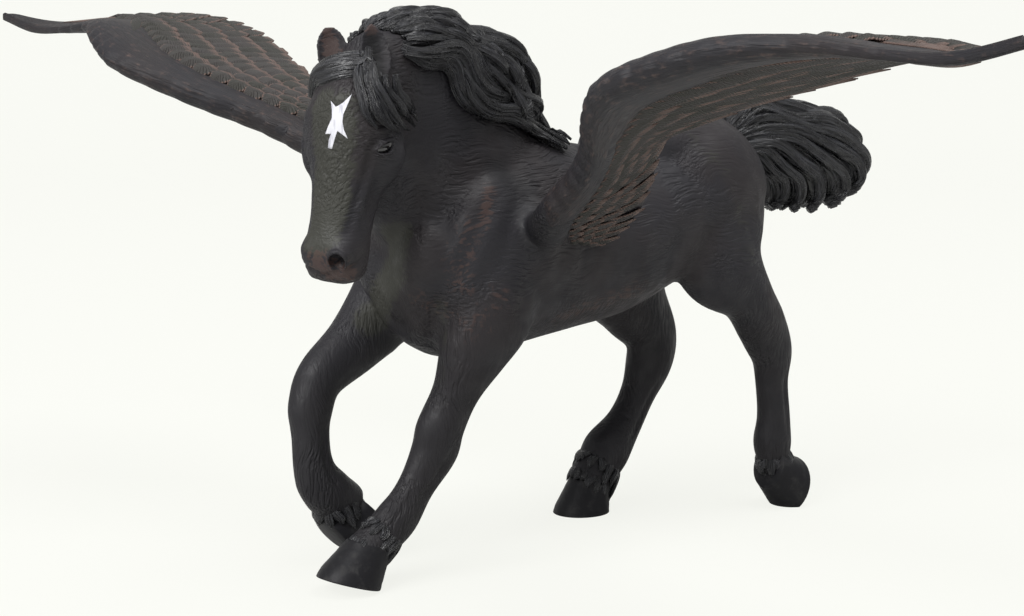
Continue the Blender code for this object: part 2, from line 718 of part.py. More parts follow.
def face_details():
    """Brow ridges over the eyes, cheeks, nostril rims and lips."""
    pieces = []
    for name, side in (("left", 1), ("right", -1)):
        brow = face_point(side * 62, 0.27, -2.0)
        pieces.append(pad(f"{name}_brow", brow, (2.6, 2.6, 3.6), 10, 20))
        cheek = face_point(side * 100, 0.38, -3.6)
        pieces.append(pad(f"{name}_cheek", cheek, (4.6, 6.4, 7.0)))
        nostril = face_point(42 if side > 0 else -60, 0.88, -1.6)
        pieces.append(pad(f"{name}_nostril", nostril, (2.5, 2.5, 3.0)))
    return pieces


def body_forms():
    pieces = [torso(), head(), tube("neck", NECK)]
    pieces += wing_arms() + face_details()
    for name, (leg, _) in LEGS.items():
        pieces.append(tube(name, leg))
    for k, (centre, half, tilt) in enumerate(MUSCLES):
        pieces.append(pad(f"muscle_{k}", centre, half, tilt))
    return pieces


def crisp_forms():
    pieces = [ear("left_ear", 0.26, -0.16), ear("right_ear", -0.28, -0.30)]
    pieces += mane() + forelock() + tail()
    for wing in WINGS:
        pieces.append(wing_sheet(wing))
        pieces += wing_feathers(wing) + tip_feathers(wing)
    for name, (leg, hoof_shape) in LEGS.items():
        pieces.append(hoof(f"{name}_hoof", *hoof_shape))
        pieces += fetlock_hair(f"{name}_hair", leg, hoof_shape)
    return pieces


def ground_cutter(collection):
    mesh = bmesh.new()
    deep = GROUND_CUT_DEPTH * MM
    wide = GROUND_CUT_WIDTH * MM
    place = Matrix.Translation((0, 0, -deep / 2)) @ Matrix.Diagonal((wide, wide, deep, 1))
    bmesh.ops.create_cube(mesh, size=1, matrix=place)
    cutter = mesh_object("ground_cutter", mesh)
    cutter.hide_render = True
    cutter.display_type = "WIRE"
    collection.objects.link(cutter)
    return cutter


def charcoal():
    material = bpy.data.materials.new("charcoal_vinyl")
    material.use_nodes = True
    shader = material.node_tree.nodes["Principled BSDF"]
    shader.inputs["Base Color"].default_value = (0.035, 0.034, 0.035, 1)
    shader.inputs["Roughness"].default_value = 0.55
    shader.inputs["Metallic"].default_value = 0.0
    return material


def centred(mesh):
    """Moves the mesh so that the middle of its outline lies over the origin."""
    for axis in (0, 1):
        places = [vertex.co[axis] for vertex in mesh.verts]
        shift = -(min(places) + max(places)) / 2
        for vertex in mesh.verts:
            vertex.co[axis] += shift
    return mesh


def main():
    clear_scene()
    figure = new_collection("winged_horse_figurine")
    cutters = new_collection("cutters")
    body = joined("body", body_forms())
    fuse(body, BODY_VOXEL, BODY_SOFTENING)
    mesh = bmesh.new()
    for piece in (body, joined("crisp", crisp_forms())):
        mesh.from_mesh(solid_mesh(piece))
        bpy.data.objects.remove(piece)
    horse = mesh_object("winged_horse", centred(mesh))
    figure.objects.link(horse)
    fuse(horse, DETAIL_VOXEL, DETAIL_SOFTENING)
    thin = horse.modifiers.new("thin", "DECIMATE")
    thin.ratio = TRIANGLE_SHARE
    flat = horse.modifiers.new("flat_soles", "BOOLEAN")
    flat.operation = "DIFFERENCE"
    flat.object = ground_cutter(cutters)
    horse.data.materials.append(charcoal())


main()
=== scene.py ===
# %% [markdown]
# # A moulded winged horse, dressed for its portrait
# The figure is one piece of soft plastic, painted by hand: matt charcoal on the body, glossy
# black on the mane and tail, brown dry-brushed over the feathers and a white star on the brow.
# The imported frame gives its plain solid. This script builds the same forms again, much finer,
# in separate pieces, because hair, feathers and skin each need their own mesh and finish.

# %% Load the frame
import math

import bmesh
import bpy
import numpy as np
from mathutils import Matrix, Vector
from mathutils.bvhtree import BVHTree


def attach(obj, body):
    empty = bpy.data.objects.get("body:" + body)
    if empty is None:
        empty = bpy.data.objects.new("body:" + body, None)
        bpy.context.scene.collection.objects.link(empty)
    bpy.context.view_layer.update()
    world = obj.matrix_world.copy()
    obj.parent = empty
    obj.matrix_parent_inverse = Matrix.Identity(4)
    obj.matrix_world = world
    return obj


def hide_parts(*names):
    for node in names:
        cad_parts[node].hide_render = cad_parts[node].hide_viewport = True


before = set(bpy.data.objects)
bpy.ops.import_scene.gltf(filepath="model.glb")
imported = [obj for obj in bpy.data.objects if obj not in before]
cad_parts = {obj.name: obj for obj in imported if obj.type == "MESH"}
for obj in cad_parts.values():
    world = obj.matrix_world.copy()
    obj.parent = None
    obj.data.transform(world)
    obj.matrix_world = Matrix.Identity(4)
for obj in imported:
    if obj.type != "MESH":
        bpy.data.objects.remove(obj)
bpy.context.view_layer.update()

# %% [markdown]
# ## Millimetres first
# Every form is made in millimetres, where the horse's shoulders lie near the origin, and moved
# to the frame as its mesh is written. One matrix does both, so no other line has to.

# %% From the sculptor's millimetres to the frame's metres
MM = 0.001
FIGURE_SHIFT = (0.0, -3.70, 0.0)
TO_FRAME = Matrix.Scale(MM, 4) @ Matrix.Translation(FIGURE_SHIFT)
RNG = np.random.default_rng(7)


def in_scene(name, data):
    """A new object with this data, linked to the scene."""
    made = bpy.data.objects.new(name, data)
    bpy.context.scene.collection.objects.link(made)
    return made


print("figure shift, mm:", FIGURE_SHIFT)

# %% [markdown]
# ## The camera comes before the clay
# Eyes, creases and locks are placed where the photograph shows them. That needs the camera
# first: a pixel then becomes a ray, and the ray meets the clay at one point of its surface.

# %% The camera, as fitted to hooves, hocks and wings
PHOTO_WIDTH, PHOTO_HEIGHT = 1024, 616
CAMERA_TURN = math.radians(50.2)
CAMERA_RISE = math.radians(8.9)
CAMERA_DISTANCE = 416.0
FOCAL_PIXELS = 2057.0
SENSOR_WIDTH = 36.0
AIM = Vector((-8.0, -9.6, 46.4))

BACKWARD = Vector((
    math.sin(CAMERA_TURN) * math.cos(CAMERA_RISE),
    -math.cos(CAMERA_TURN) * math.cos(CAMERA_RISE),
    math.sin(CAMERA_RISE),
))
RIGHTWARD = Vector((math.cos(CAMERA_TURN), math.sin(CAMERA_TURN), 0))
UPWARD = BACKWARD.cross(RIGHTWARD)
EYE_POINT = AIM + BACKWARD * CAMERA_DISTANCE


def pixel_ray(pixel):
    """The direction from the camera through a pixel of the photograph."""
    across = (pixel[0] - PHOTO_WIDTH / 2) / FOCAL_PIXELS
    down = (pixel[1] - PHOTO_HEIGHT / 2) / FOCAL_PIXELS
    return (RIGHTWARD * across - UPWARD * down - BACKWARD).normalized()


def aim_camera():
    data = bpy.data.cameras.new("portrait")
    data.sensor_width = SENSOR_WIDTH
    data.lens = FOCAL_PIXELS * SENSOR_WIDTH / PHOTO_WIDTH
    camera = in_scene("portrait", data)
    turn = Matrix((RIGHTWARD, UPWARD, BACKWARD)).transposed().to_4x4()
    camera.matrix_world = Matrix.Translation(TO_FRAME @ EYE_POINT) @ turn
    bpy.context.scene.camera = camera
    return camera


print("lens, mm:", round(aim_camera().data.lens, 1))

# %% [markdown]
# ## Smooth paths through a few stations
# A limb is described as a sculptor would measure it: a few stations with a centre and two
# girths. A smooth curve through the stations gives every value in between.

# %% Stations and curves
def blend(a, b, share):
    """The value or the nested tuple of values this share of the way from a to b."""
    if isinstance(a, (int, float)):
        return a + (b - a) * share
    return tuple(blend(x, y, share) for x, y in zip(a, b))


def catmull(p0, p1, p2, p3, t):
    """One value or nested tuple on the smooth curve between p1 and p2."""
    if isinstance(p1, (int, float)):
        return 0.5 * (
            2 * p1
            + (p2 - p0) * t
            + (2 * p0 - 5 * p1 + 4 * p2 - p3) * t * t
            + (3 * p1 - p0 - 3 * p2 + p3) * t**3
        )
    return tuple(catmull(*column, t) for column in zip(p0, p1, p2, p3))


def along(stations, share):
    """The station at this share of a smooth curve through the stations."""
    last = len(stations) - 1
    place = min(max(share, 0.0), 1.0) * last
    first = min(int(place), last - 1)
    rows = [stations[min(max(first + k, 0), last)] for k in (-1, 0, 1, 2)]
    return catmull(*rows, place - first)


def shares(count):
    """This many shares, evenly spread from 0 to 1."""
    return [k / (count - 1) for k in range(count)]


def smooth_step(low, high, value):
    """0 below low, 1 above high and a smooth rise between them."""
    share = min(max((value - low) / (high - low), 0.0), 1.0)
    return share * share * (3 - 2 * share)

# %% [markdown]
# ## Collecting rings into one mesh
# Tubes, locks and feathers are all lofts: rings of points joined by quads. A bin collects the
# lofts of one piece and keeps two numbers at each corner as a UV map: how far around the loft
# it is, and how far along. The paint reads them to lay strands and barbs in the right direction.

# %% A bin for lofts
class Bin:
    def __init__(self):
        self.points = []
        self.faces = []
        self.corners = []
        self.shares = []
        self.lots = []

    def loft(self, rings, around=None):
        """Quads between rings of the same number of points, closed at both ends. around
        gives each ring place its first UV value, or else that is its share of the ring."""
        start = len(self.points)
        sides = len(rings[0])
        last = len(rings) - 1
        lot = RNG.random()
        places = around or [k / sides for k in range(sides + 1)]
        middles = [sum(ring, Vector()) / sides for ring in rings]
        reach = 0.0
        for row, ring in enumerate(rings):
            self.points.extend(ring)
            self.shares.extend([row / last] * sides)
            self.lots.extend([lot] * sides)
            if row == last:
                break
            following_reach = reach + (middles[row + 1] - middles[row]).length
            near, far = start + row * sides, start + (row + 1) * sides
            for k in range(sides):
                following = (k + 1) % sides
                self.faces.append((near + k, near + following, far + following, far + k))
                self.corners += [
                    (places[k], reach), (places[k + 1], reach),
                    (places[k + 1], following_reach), (places[k], following_reach),
                ]
            reach = following_reach
        self.faces.append(tuple(range(start + sides - 1, start - 1, -1)))
        self.faces.append(tuple(range(near + sides, near + 2 * sides)))
        self.corners.extend([(0.5, 0.0)] * sides + [(0.5, reach)] * sides)

    def mesh(self, name):
        """The lofts as one mesh, with each point's share along its loft and its loft's lot."""
        data = bpy.data.meshes.new(name)
        data.from_pydata([tuple(point) for point in self.points], [], self.faces)
        layer = data.uv_layers.new(name="loft")
        layer.data.foreach_set("uv", np.array(self.corners, dtype=np.float32).ravel())
        for key, values in (("share", self.shares), ("lot", self.lots)):
            if len(values) == len(self.points):
                kept = data.attributes.new(key, "FLOAT", "POINT")
                kept.data.foreach_set("value", np.array(values, dtype=np.float32))
        tidy = bmesh.new()
        tidy.from_mesh(data)
        bmesh.ops.recalc_face_normals(tidy, faces=tidy.faces)
        tidy.to_mesh(data)
        tidy.free()
        return data


def oval(centre, across, over, under=None, sides=24):
    """An egg-shaped ring: across to both sides, over and under at its ends."""
    under = -over if under is None else under
    ring = []
    for k in range(sides):
        angle = math.tau * k / sides
        reach = over * math.sin(angle) if math.sin(angle) > 0 else -under * math.sin(angle)
        ring.append(centre + across * math.cos(angle) + reach)
    return ring

# %% [markdown]
# ## The skin: torso, neck, head and legs
# On the real figure these are one smooth surface. The stations below are those of the frame's
# own solid, so the dressed horse stands exactly where the plain one does.

# %% Driving dimensions and stations of the body
CHEST_Y, BUTTOCK_Y = -47.0, 45.5
BACK_HEIGHT, BELLY_HEIGHT = 80.5, 42.9
BARREL_WIDTH = 37.0
POLL = (7.7, -58.3, 95.8)
HEAD_LENGTH, HEAD_WIDTH = 37.5, 16.3
HEAD_YAW, HEAD_PITCH = 25.0, 15.0

# Share of the length, top and bottom as shares of the depth, half width as a share
TORSO = (
    (0, 0.62, 0.30, 0.30), (0.04, 0.78, 0.07, 0.62), (0.11, 0.92, -0.05, 0.84),
    (0.21, 1.03, -0.08, 0.95), (0.33, 1.07, -0.04, 0.95), (0.46, 1, 0, 0.98),
    (0.58, 0.97, 0.04, 1), (0.70, 1.06, 0.14, 0.98), (0.80, 1.15, 0.25, 0.97),
    (0.90, 1.10, 0.34, 0.90), (0.96, 0.97, 0.46, 0.72), (1, 0.82, 0.58, 0.42),
)

# Centre, half width, half depth
NECK = (
    ((0, -25, 66), 12.5, 17.5), ((0.3, -31.5, 74), 11.5, 19),
    ((1, -37, 81), 9.8, 19), ((2.6, -42.5, 87.5), 8.4, 17),
    ((4.4, -48, 91.5), 7.4, 13.5), ((6.2, -53.5, 94), 6.8, 10.5),
    ((7.7, -58, 95.6), 6, 7.5),
)

# Share of the length, then front, back and half width as shares of the head's width
HEAD = (
    (-0.06, 0.12, 0.2, 0.24), (0, 0.26, 0.36, 0.36), (0.1, 0.4, 0.56, 0.45),
    (0.22, 0.47, 0.74, 0.5), (0.33, 0.46, 0.82, 0.49), (0.44, 0.41, 0.76, 0.43),
    (0.56, 0.36, 0.58, 0.37), (0.68, 0.34, 0.42, 0.35), (0.8, 0.34, 0.37, 0.35),
    (0.9, 0.33, 0.37, 0.35), (0.97, 0.24, 0.33, 0.32), (1.01, 0.06, 0.22, 0.18),
)

LEGS = {
    "left_fore": (
        ((11.5, -29, 60), 6, 10), ((12, -31, 51), 6.4, 9.4),
        ((11.5, -35.3, 43), 5.6, 7.2), ((10.2, -38.5, 35.5), 4.3, 4.7),
        ((9.2, -41.4, 29), 4.3, 4.7), ((8.4, -42.2, 24.5), 4, 4.8),
        ((7.6, -46.1, 18), 3.1, 3.8), ((6.9, -49.8, 12.6), 3.5, 4.3),
        ((6.2, -53.9, 9), 3.8, 4), ((5.8, -57.2, 6.5), 4, 4),
    ),
    "right_fore": (
        ((-12, -31, 59), 6, 10), ((-13, -36, 50.5), 6.4, 9),
        ((-13.8, -44.3, 42.5), 5.2, 6.3), ((-13.4, -53, 36.6), 4.4, 4.9),
        ((-12.9, -55.6, 31), 4, 4.5), ((-12.5, -56, 25.5), 3.5, 3.8),
        ((-12.2, -55.4, 19), 3.7, 4.2), ((-12, -52.6, 14.4), 4.6, 5),
        ((-12, -49.2, 12.2), 4.3, 4.4), ((-12, -47.2, 10.8), 4, 4),
    ),
    "left_hind": (
        ((10, 28, 64), 8, 15), ((11.8, 30.4, 54), 7, 10.6),
        ((12.6, 37, 46.6), 5.6, 6), ((12.4, 41.8, 40.2), 4.7, 5.8),
        ((12.2, 45.3, 34), 4, 5), ((12, 45.8, 27.5), 3.2, 3.9),
        ((12, 46.6, 20), 3.4, 3.8), ((12, 46.4, 14), 3.9, 4.4),
        ((12.1, 47, 10), 3.4, 3.6), ((12.2, 49, 6.5), 4.2, 4.2),
    ),
    "right_hind": (
        ((-10, 22, 64), 8, 14), ((-11.4, 22, 52), 7.4, 12),
        ((-11.6, 27.2, 43.5), 6, 8.8), ((-11.4, 32.6, 36), 4.6, 6.3),
        ((-11.2, 31.8, 30), 4.2, 5.8), ((-11.1, 28.4, 23.5), 3.4, 4.3),
        ((-11, 24.4, 17.6), 3.5, 4.4), ((-11, 19.6, 12.6), 4.6, 5.6),
        ((-11, 16.4, 8.6), 4.3, 5.2), ((-11, 13.8, 5), 4.8, 5.3),
    ),
}

# Centre, half sizes and tilt about X
MUSCLES = (
    ((0.9, -22, 93), (5.5, 6.5, 13), 40),
    ((10.5, -33, 62), (6.5, 9.5, 15), -18), ((-10.5, -34, 62), (6.5, 9.5, 15), -18),
    ((6, -43, 60), (6.5, 5, 9), 0), ((-6, -43, 60), (6.5, 5, 9), 0),
    ((10, 27, 68), (8.5, 15.5, 15), 20), ((-10, 25, 68), (8.5, 15.5, 15), 20),
    ((5, 23, 78.5), (9, 16, 7.2), 0), ((-5, 23, 78.5), (9, 16, 7.2), 0),
    ((13.5, -14, 66), (5, 13, 8), 10), ((-13.5, -14, 66), (5, 13, 8), 10),
    ((13.6, -22, 62), (5.8, 12, 10), 0), ((-13.6, -22, 62), (5.8, 12, 10), 0),
)
print("stations:", len(TORSO) + len(NECK) + len(HEAD) + sum(len(leg) for leg in LEGS.values()))

# %% Lofts of the body
def add_tube(bin, stations, steps=8, side=Vector((1, 0, 0)), sides=32):
    """A limb: ovals along a smooth path, wide along side and deep across it."""
    count = (len(stations) - 1) * steps + 1
    rows = [along(stations, share) for share in shares(count)]
    centres = [Vector(row[0]) for row in rows]
    rings = []
    for k, (_, half_width, half_depth) in enumerate(rows):
        run = centres[min(k + 1, count - 1)] - centres[max(k - 1, 0)]
        deep = run.cross(side).normalized()
        wide = deep.cross(run).normalized()
        rings.append(oval(centres[k], wide * half_width, deep * half_depth, None, sides))
    bin.loft(rings)


BODY_RINGS = 60
WIDEST_HEIGHT = 0.48


def add_torso(bin):
    rings = []
    for step in shares(BODY_RINGS):
        share, top, bottom, half = along(TORSO, step)
        high = blend(BELLY_HEIGHT, BACK_HEIGHT, top)
        low = blend(BELLY_HEIGHT, BACK_HEIGHT, bottom)
        middle = blend(low, high, WIDEST_HEIGHT)
        centre = Vector((0, blend(CHEST_Y, BUTTOCK_Y, share), middle))
        across = Vector((BARREL_WIDTH / 2 * half, 0, 0))
        over, under = Vector((0, 0, high - middle)), Vector((0, 0, low - middle))
        rings.append(oval(centre, across, over, under, 48))
    bin.loft(rings)


def head_frame():
    """The head's axes: across to its left, forward from the face, down the nose."""
    turn = Matrix.Rotation(math.radians(HEAD_YAW), 3, "Z")
    turn @= Matrix.Rotation(math.radians(-HEAD_PITCH), 3, "X")
    return turn @ Vector((1, 0, 0)), turn @ Vector((0, -1, 0)), turn @ Vector((0, 0, -1))


def head_point(across, forward, down):
    """A point of the head, in head widths to its left and forward, lengths down."""
    left, front, nose = head_frame()
    offset = left * across * HEAD_WIDTH + front * forward * HEAD_WIDTH
    return Vector(POLL) + offset + nose * down * HEAD_LENGTH


def head_row(down):
    """The head's station at this share of its length."""
    last = len(HEAD) - 1
    for k in range(last):
        low, high = HEAD[k][0], HEAD[k + 1][0]
        if down <= high:
            return along(HEAD, (k + max(down - low, 0.0) / (high - low)) / last)
    return HEAD[-1]


def face_point(angle, down, lift=0.0):
    """A point of the head: degrees from the front of the face towards its left,
    share of the length down, and lift off the surface."""
    left, front, _ = head_frame()
    _, reach_front, reach_back, half = head_row(down)
    turn = math.radians(angle)
    reach = reach_front if math.cos(turn) > 0 else reach_back
    sideways = left * math.sin(turn) * (half * HEAD_WIDTH + lift)
    forward = front * math.cos(turn) * (reach * HEAD_WIDTH + lift)
    return head_point(0, 0, down) + sideways + forward


def add_head(bin):
    left, front, _ = head_frame()
    rings = []
    for step in shares(BODY_RINGS):
        share, reach_front, reach_back, half = along(HEAD, step)
        over, under = front * reach_front * HEAD_WIDTH, -front * reach_back * HEAD_WIDTH
        rings.append(oval(head_point(0, 0, share), left * half * HEAD_WIDTH, over, under, 40))
    bin.loft(rings)


def add_pad(bin, centre, half, tilt):
    """An ellipsoid for a muscle or a swelling."""
    turn = Matrix.Rotation(math.radians(tilt), 3, "X")
    rings = []
    for share in shares(16)[1:-1]:
        angle = math.pi * share
        level = Vector((0, 0, math.cos(angle) * half[2]))
        across = Vector((math.sin(angle) * half[0], 0, 0))
        over = Vector((0, math.sin(angle) * half[1], 0))
        rings.append([Vector(centre) + turn @ point for point in oval(level, across, over)])
    bin.loft(rings)

# %% [markdown]
# ## The wings' plan
# A wing is planned by its leading and trailing edges, from the shoulder to the tip. The arm's
# girth is a third value there. The right wing is the left one mirrored, bent a little more.

# %% Stations of the wings
WING_ARM_RADIUS, WING_SHEET = 2.4, 1.5
ARM_PLACE, ARM_STATIONS = 0.16, 7
# Points of the leading and the trailing edge, and the arm's girth as a share of its radius
WING = (
    ((9, -20, 63), (11, -7, 60), 1.75),
    ((18.5, -26.5, 66.5), (19, -7, 63), 1.5),
    ((29, -33, 71.2), (27, -7.5, 69.5), 1.25),
    ((39.5, -36.2, 77), (36, -12.5, 77.5), 1.1),
    ((49.8, -42.3, 82.6), (46, -19.5, 84.5), 1.1),
    ((61.5, -52.9, 88.6), (57, -20.5, 88.1), 1.1),
    ((74, -61.8, 94.8), (68, -18.5, 91.7), 1.1),
    ((83.5, -61, 98.6), (80, -16, 95), 1.1),
    ((94, -57, 101.5), (92, -14.5, 98.4), 1),
    ((106, -51, 102.2), (106, -17, 101.2), 0.7),
    ((120, -50.5, 101.4), (118, -27, 101.4), 0.40),
    ((133, -50.8, 101.2), (130, -41, 101), 0.42),
    ((145, -51.6, 103.6), (143.6, -47.6, 103.6), 0.40),
)
# Name, side and how far the outer part is bent up behind
WINGS = (("left", 1, 0.0), ("right", -1, 2.2))


def wing_edges(wing, share):
    """One wing's leading and trailing edge points and its arm's girth."""
    _, side, bend = wing
    leading, trailing, girth = along(WING, share)
    outer = min(max((share - 0.55) / 0.25, 0), 1) * smooth_step(1.0, 0.84, share)
    leading = Vector((side * leading[0], leading[1], leading[2] - 0.25 * bend * outer))
    trailing = Vector((side * trailing[0], trailing[1], trailing[2] + bend * outer))
    return leading, trailing, girth


def wing_frame(wing, share):
    """The wing's leading edge, its chord and the direction up from them."""
    leading, trailing, _ = wing_edges(wing, share)
    ahead = wing_edges(wing, min(share + 0.02, 1))[0]
    behind = wing_edges(wing, max(share - 0.02, 0))[0]
    chord = trailing - leading
    out = (ahead - behind).normalized()
    return leading, chord, out.cross(chord).normalized() * wing[1]


def add_wing_arms(bin):
    for _, side, _ in WINGS:
        stations = []
        for leading, trailing, girth in WING[:ARM_STATIONS]:
            x, y, z = blend(leading, trailing, ARM_PLACE)
            radius = WING_ARM_RADIUS * girth * 0.95
            stations.append(((side * x, y, z), radius, radius * 1.3))
        add_tube(bin, stations, 6, Vector((0, 0, 1)))

# %% [markdown]
# ## From lumps to skin
# Overlapping lofts are fused twice. The coarse voxel remesh runs them together as soft clay
# does. Then crisp forms go on, such as eyelids and nostril rims, and a fine remesh takes them
# in. A sculptor's second pass follows, in code: push, pinch and crease, each with a soft brush.

# %% Fusing
COARSE_VOXEL, COARSE_ROUNDS = 0.8, 6
FINE_VOXEL, FINE_ROUNDS = 0.38, 3
SKIN_TRIANGLES = 190000


def reworked(mesh, **modifiers):
    """What these modifiers, given as kind={setting: value}, make of the mesh."""
    piece = in_scene("reworking", mesh)
    for kind, settings in modifiers.items():
        modifier = piece.modifiers.new(kind, kind)
        for name, value in settings.items():
            setattr(modifier, name, value)
    graph = bpy.context.evaluated_depsgraph_get()
    result = bpy.data.meshes.new_from_object(piece.evaluated_get(graph))
    bpy.data.objects.remove(piece)
    return result


def fused(mesh, voxel, rounds):
    """The mesh remeshed with this voxel and relaxed by these rounds of smoothing."""
    remesh = {"mode": "VOXEL", "voxel_size": voxel}
    return reworked(mesh, REMESH=remesh, SMOOTH={"iterations": rounds, "factor": 0.5})


def add_mesh(bin, mesh):
    """Adds a finished mesh to a bin, with empty corners."""
    start = len(bin.points)
    bin.points.extend(vertex.co.copy() for vertex in mesh.vertices)
    for face in mesh.polygons:
        bin.faces.append(tuple(start + k for k in face.vertices))
        bin.corners.extend([(0.0, 0.0)] * len(face.vertices))


# Degrees from the front of the face, share of its length down, lift, half sizes and tilt
FACE_PADS = (
    (62, 0.27, -2.0, (2.6, 2.6, 3.6), 10),
    (100, 0.38, -3.6, (4.6, 6.4, 7.0), 0),
    (42, 0.88, -1.4, (2.5, 2.5, 3.0), 0),
)


def coarse_body():
    clay = Bin()
    add_torso(clay)
    add_head(clay)
    add_tube(clay, NECK)
    add_wing_arms(clay)
    for side in (1, -1):
        for angle, down, lift, half, tilt in FACE_PADS:
            add_pad(clay, face_point(side * angle, down, lift), half, tilt)
    for leg in LEGS.values():
        add_tube(clay, leg)
    for centre, half, tilt in MUSCLES:
        add_pad(clay, centre, half, tilt)
    return fused(clay.mesh("clay"), COARSE_VOXEL, COARSE_ROUNDS)


clay_mesh = coarse_body()
print("coarse skin faces:", len(clay_mesh.polygons))

# %% [markdown]
# ## Where a pixel meets the clay
# A ray from the camera finds the surface. The head's own mirror plane then carries a feature
# to its other side, and the body's plane does the same for the torso.

# %% Points on the clay
def tree_of(mesh):
    """A tree that finds where a ray meets a mesh, and its nearest point to a place."""
    places = [vertex.co.copy() for vertex in mesh.vertices]
    return BVHTree.FromPolygons(places, [tuple(face.vertices) for face in mesh.polygons])


clay_tree = tree_of(clay_mesh)
RAY_SEARCH, RAY_PLACES = 80.0, 41


def on_clay(pixel, lift=0.0):
    """The point of the clay that this pixel of the photograph shows, lifted off it. Where
    the ray passes beside the clay, the ray's own point that is nearest to it."""
    ray = pixel_ray(pixel)
    place, normal, _, _ = clay_tree.ray_cast(EYE_POINT, ray)
    if place is not None:
        return place + normal * lift
    reaches = [CAMERA_DISTANCE + blend(-RAY_SEARCH, RAY_SEARCH, k) for k in shares(RAY_PLACES)]
    beside = [EYE_POINT + ray * reach for reach in reaches]
    return min(beside, key=lambda point: clay_tree.find_nearest(point)[3])


def over_head(point):
    """The same point on the head's other side."""
    left, _, _ = head_frame()
    return point - left * 2 * (point - Vector(POLL)).dot(left)


def over_body(point):
    return Vector((-point.x, point.y, point.z))


EYE_PIXEL = (385, 147)
NOSTRIL_PIXEL = (337, 262)
EYE_PLACE = on_clay(EYE_PIXEL)
NOSTRIL_PLACE = on_clay(NOSTRIL_PIXEL)
RIGHT_NOSTRIL_PLACE = clay_tree.find_nearest(face_point(-62, 0.89))[0]
for feature, place in (("eye", EYE_PLACE), ("nostril", NOSTRIL_PLACE)):
    print(feature, "at, mm:", [round(value, 1) for value in place])

# %% [markdown]
# ## Eyelids and nostril rims
# The eye is almond-shaped and slants down towards the nose. Two thin rolls of clay follow the
# almond's edge, and the fine remesh will weld them to the face. The nearer nostril gets a ring.

# %% Crisp forms of the face
EYE_LONG, EYE_TALL = 2.24, 1.0925
LID_RADIUS, UPPER_LID_RADIUS = 0.34, 0.425
NOSTRIL_TALL, NOSTRIL_WIDE, NOSTRIL_RIM = 2.1, 1.5, 0.55


def eye_axes(side):
    """The eye's middle, its long axis towards the temple, its short axis and its outward one."""
    left, front, nose = head_frame()
    place = EYE_PLACE if side > 0 else over_head(EYE_PLACE)
    _, normal, _, _ = clay_tree.find_nearest(place)
    long_way = -front * 0.75 - nose * 0.55 + left * side * 0.30
    long_way = (long_way - normal * long_way.dot(normal)).normalized()
    return place, long_way, normal.cross(long_way).normalized() * side, normal


def add_roll(bin, points, radius, sides=8):
    """A thin roll of clay along the points."""
    rings = []
    for k, point in enumerate(points):
        run = (points[min(k + 1, len(points) - 1)] - points[max(k - 1, 0)]).normalized()
        across = run.orthogonal().normalized()
        over = run.cross(across)
        girth = radius * (0.45 + 0.55 * math.sin(math.pi * k / (len(points) - 1)))
        rings.append(oval(point, across * girth, over * girth, None, sides))
    bin.loft(rings)


def add_lids(bin, side):
    middle, long_way, short_way, normal = eye_axes(side)
    for above, radius in ((1, UPPER_LID_RADIUS), (-1, LID_RADIUS)):
        points = []
        for share in shares(13):
            turn = math.pi * share
            reach = long_way * EYE_LONG * math.cos(turn)
            rise = short_way * EYE_TALL * above * math.sin(turn) ** 0.8
            dome = normal * (0.35 + 0.45 * math.sin(turn))
            points.append(middle + reach + rise + dome)
        add_roll(bin, points, radius)


def add_nostril_ring(bin):
    """An open ring around the nostril that the photograph shows."""
    _, _, nose = head_frame()
    _, normal, _, _ = clay_tree.find_nearest(NOSTRIL_PLACE)
    tall = (nose - normal * nose.dot(normal)).normalized()
    wide = normal.cross(tall)
    ring = []
    for share in shares(17):
        turn = math.tau * share * 0.86 + 0.5
        place = tall * NOSTRIL_TALL * math.cos(turn) + wide * NOSTRIL_WIDE * math.sin(turn)
        ring.append(NOSTRIL_PLACE + place + normal * 0.15)
    add_roll(bin, ring, NOSTRIL_RIM)

# %% [markdown]
# ## Ears
# Each ear is a leaf, cupped at the front. Its section is a horseshoe: an outer arc and, a
# little inside it, an inner one.

# %% Ears
EAR_WIDTH, EAR_WALL, EAR_DEPTH = 5.8, 0.75, 1.7
EAR_OUTLINE = (
    # share of the length, half width as a share of the widest
    (0, 0.66), (0.15, 0.84), (0.35, 1), (0.55, 0.96), (0.75, 0.74), (0.9, 0.44), (1, 0.12),
)
LEFT_EAR_PIXEL = (381, 77)
# Base, lean to the left, turn of the hollow to the left, length, bluntness, how strong the
# painted shade in the hollow is, and how brown the hollow is painted
EARS = (
    (on_clay(LEFT_EAR_PIXEL, -0.6), -0.26, 0.95, 10.2, 0.10, 1, 0),
    (head_point(-0.28, -0.04, 0.03), -0.30, 0.50, 9.6, 0.30, 0, 0.9),
)


def ear_axes(lean, facing):
    """The way an ear points and the way its hollow faces."""
    left, front, nose = head_frame()
    up = (-nose + left * lean + front * 0.05).normalized()
    opening = (front + left * facing).normalized()
    return up, (opening - up * opening.dot(up)).normalized()


def add_ear(bin, base, lean, facing, length, blunt):
    """A cupped leaf on the poll."""
    up, opening = ear_axes(lean, facing)
    wide = up.cross(opening).normalized()
    rings = []
    for step in shares(19):
        share, half = along(EAR_OUTLINE, step)
        half += blunt * smooth_step(0.5, 0.9, share) * (1 - 0.4 * share)
        centre = base + up * length * share
        width = EAR_WIDTH / 2 * half
        inner_width = width - min(EAR_WALL, width * 0.8) * 0.6
        depth = EAR_DEPTH * half
        hollow = max(depth - EAR_WALL, 0.02) * smooth_step(0.02, 0.22, share + half * 0.11)
        outer, inner = [], []
        for turn in (math.pi * place for place in shares(13)):
            outer.append(centre + wide * width * math.cos(turn) - opening * depth * math.sin(turn))
            inner.append(
                centre + wide * inner_width * math.cos(turn) - opening * hollow * math.sin(turn)
            )
        rings.append(outer + inner[::-1])
    bin.loft(rings)

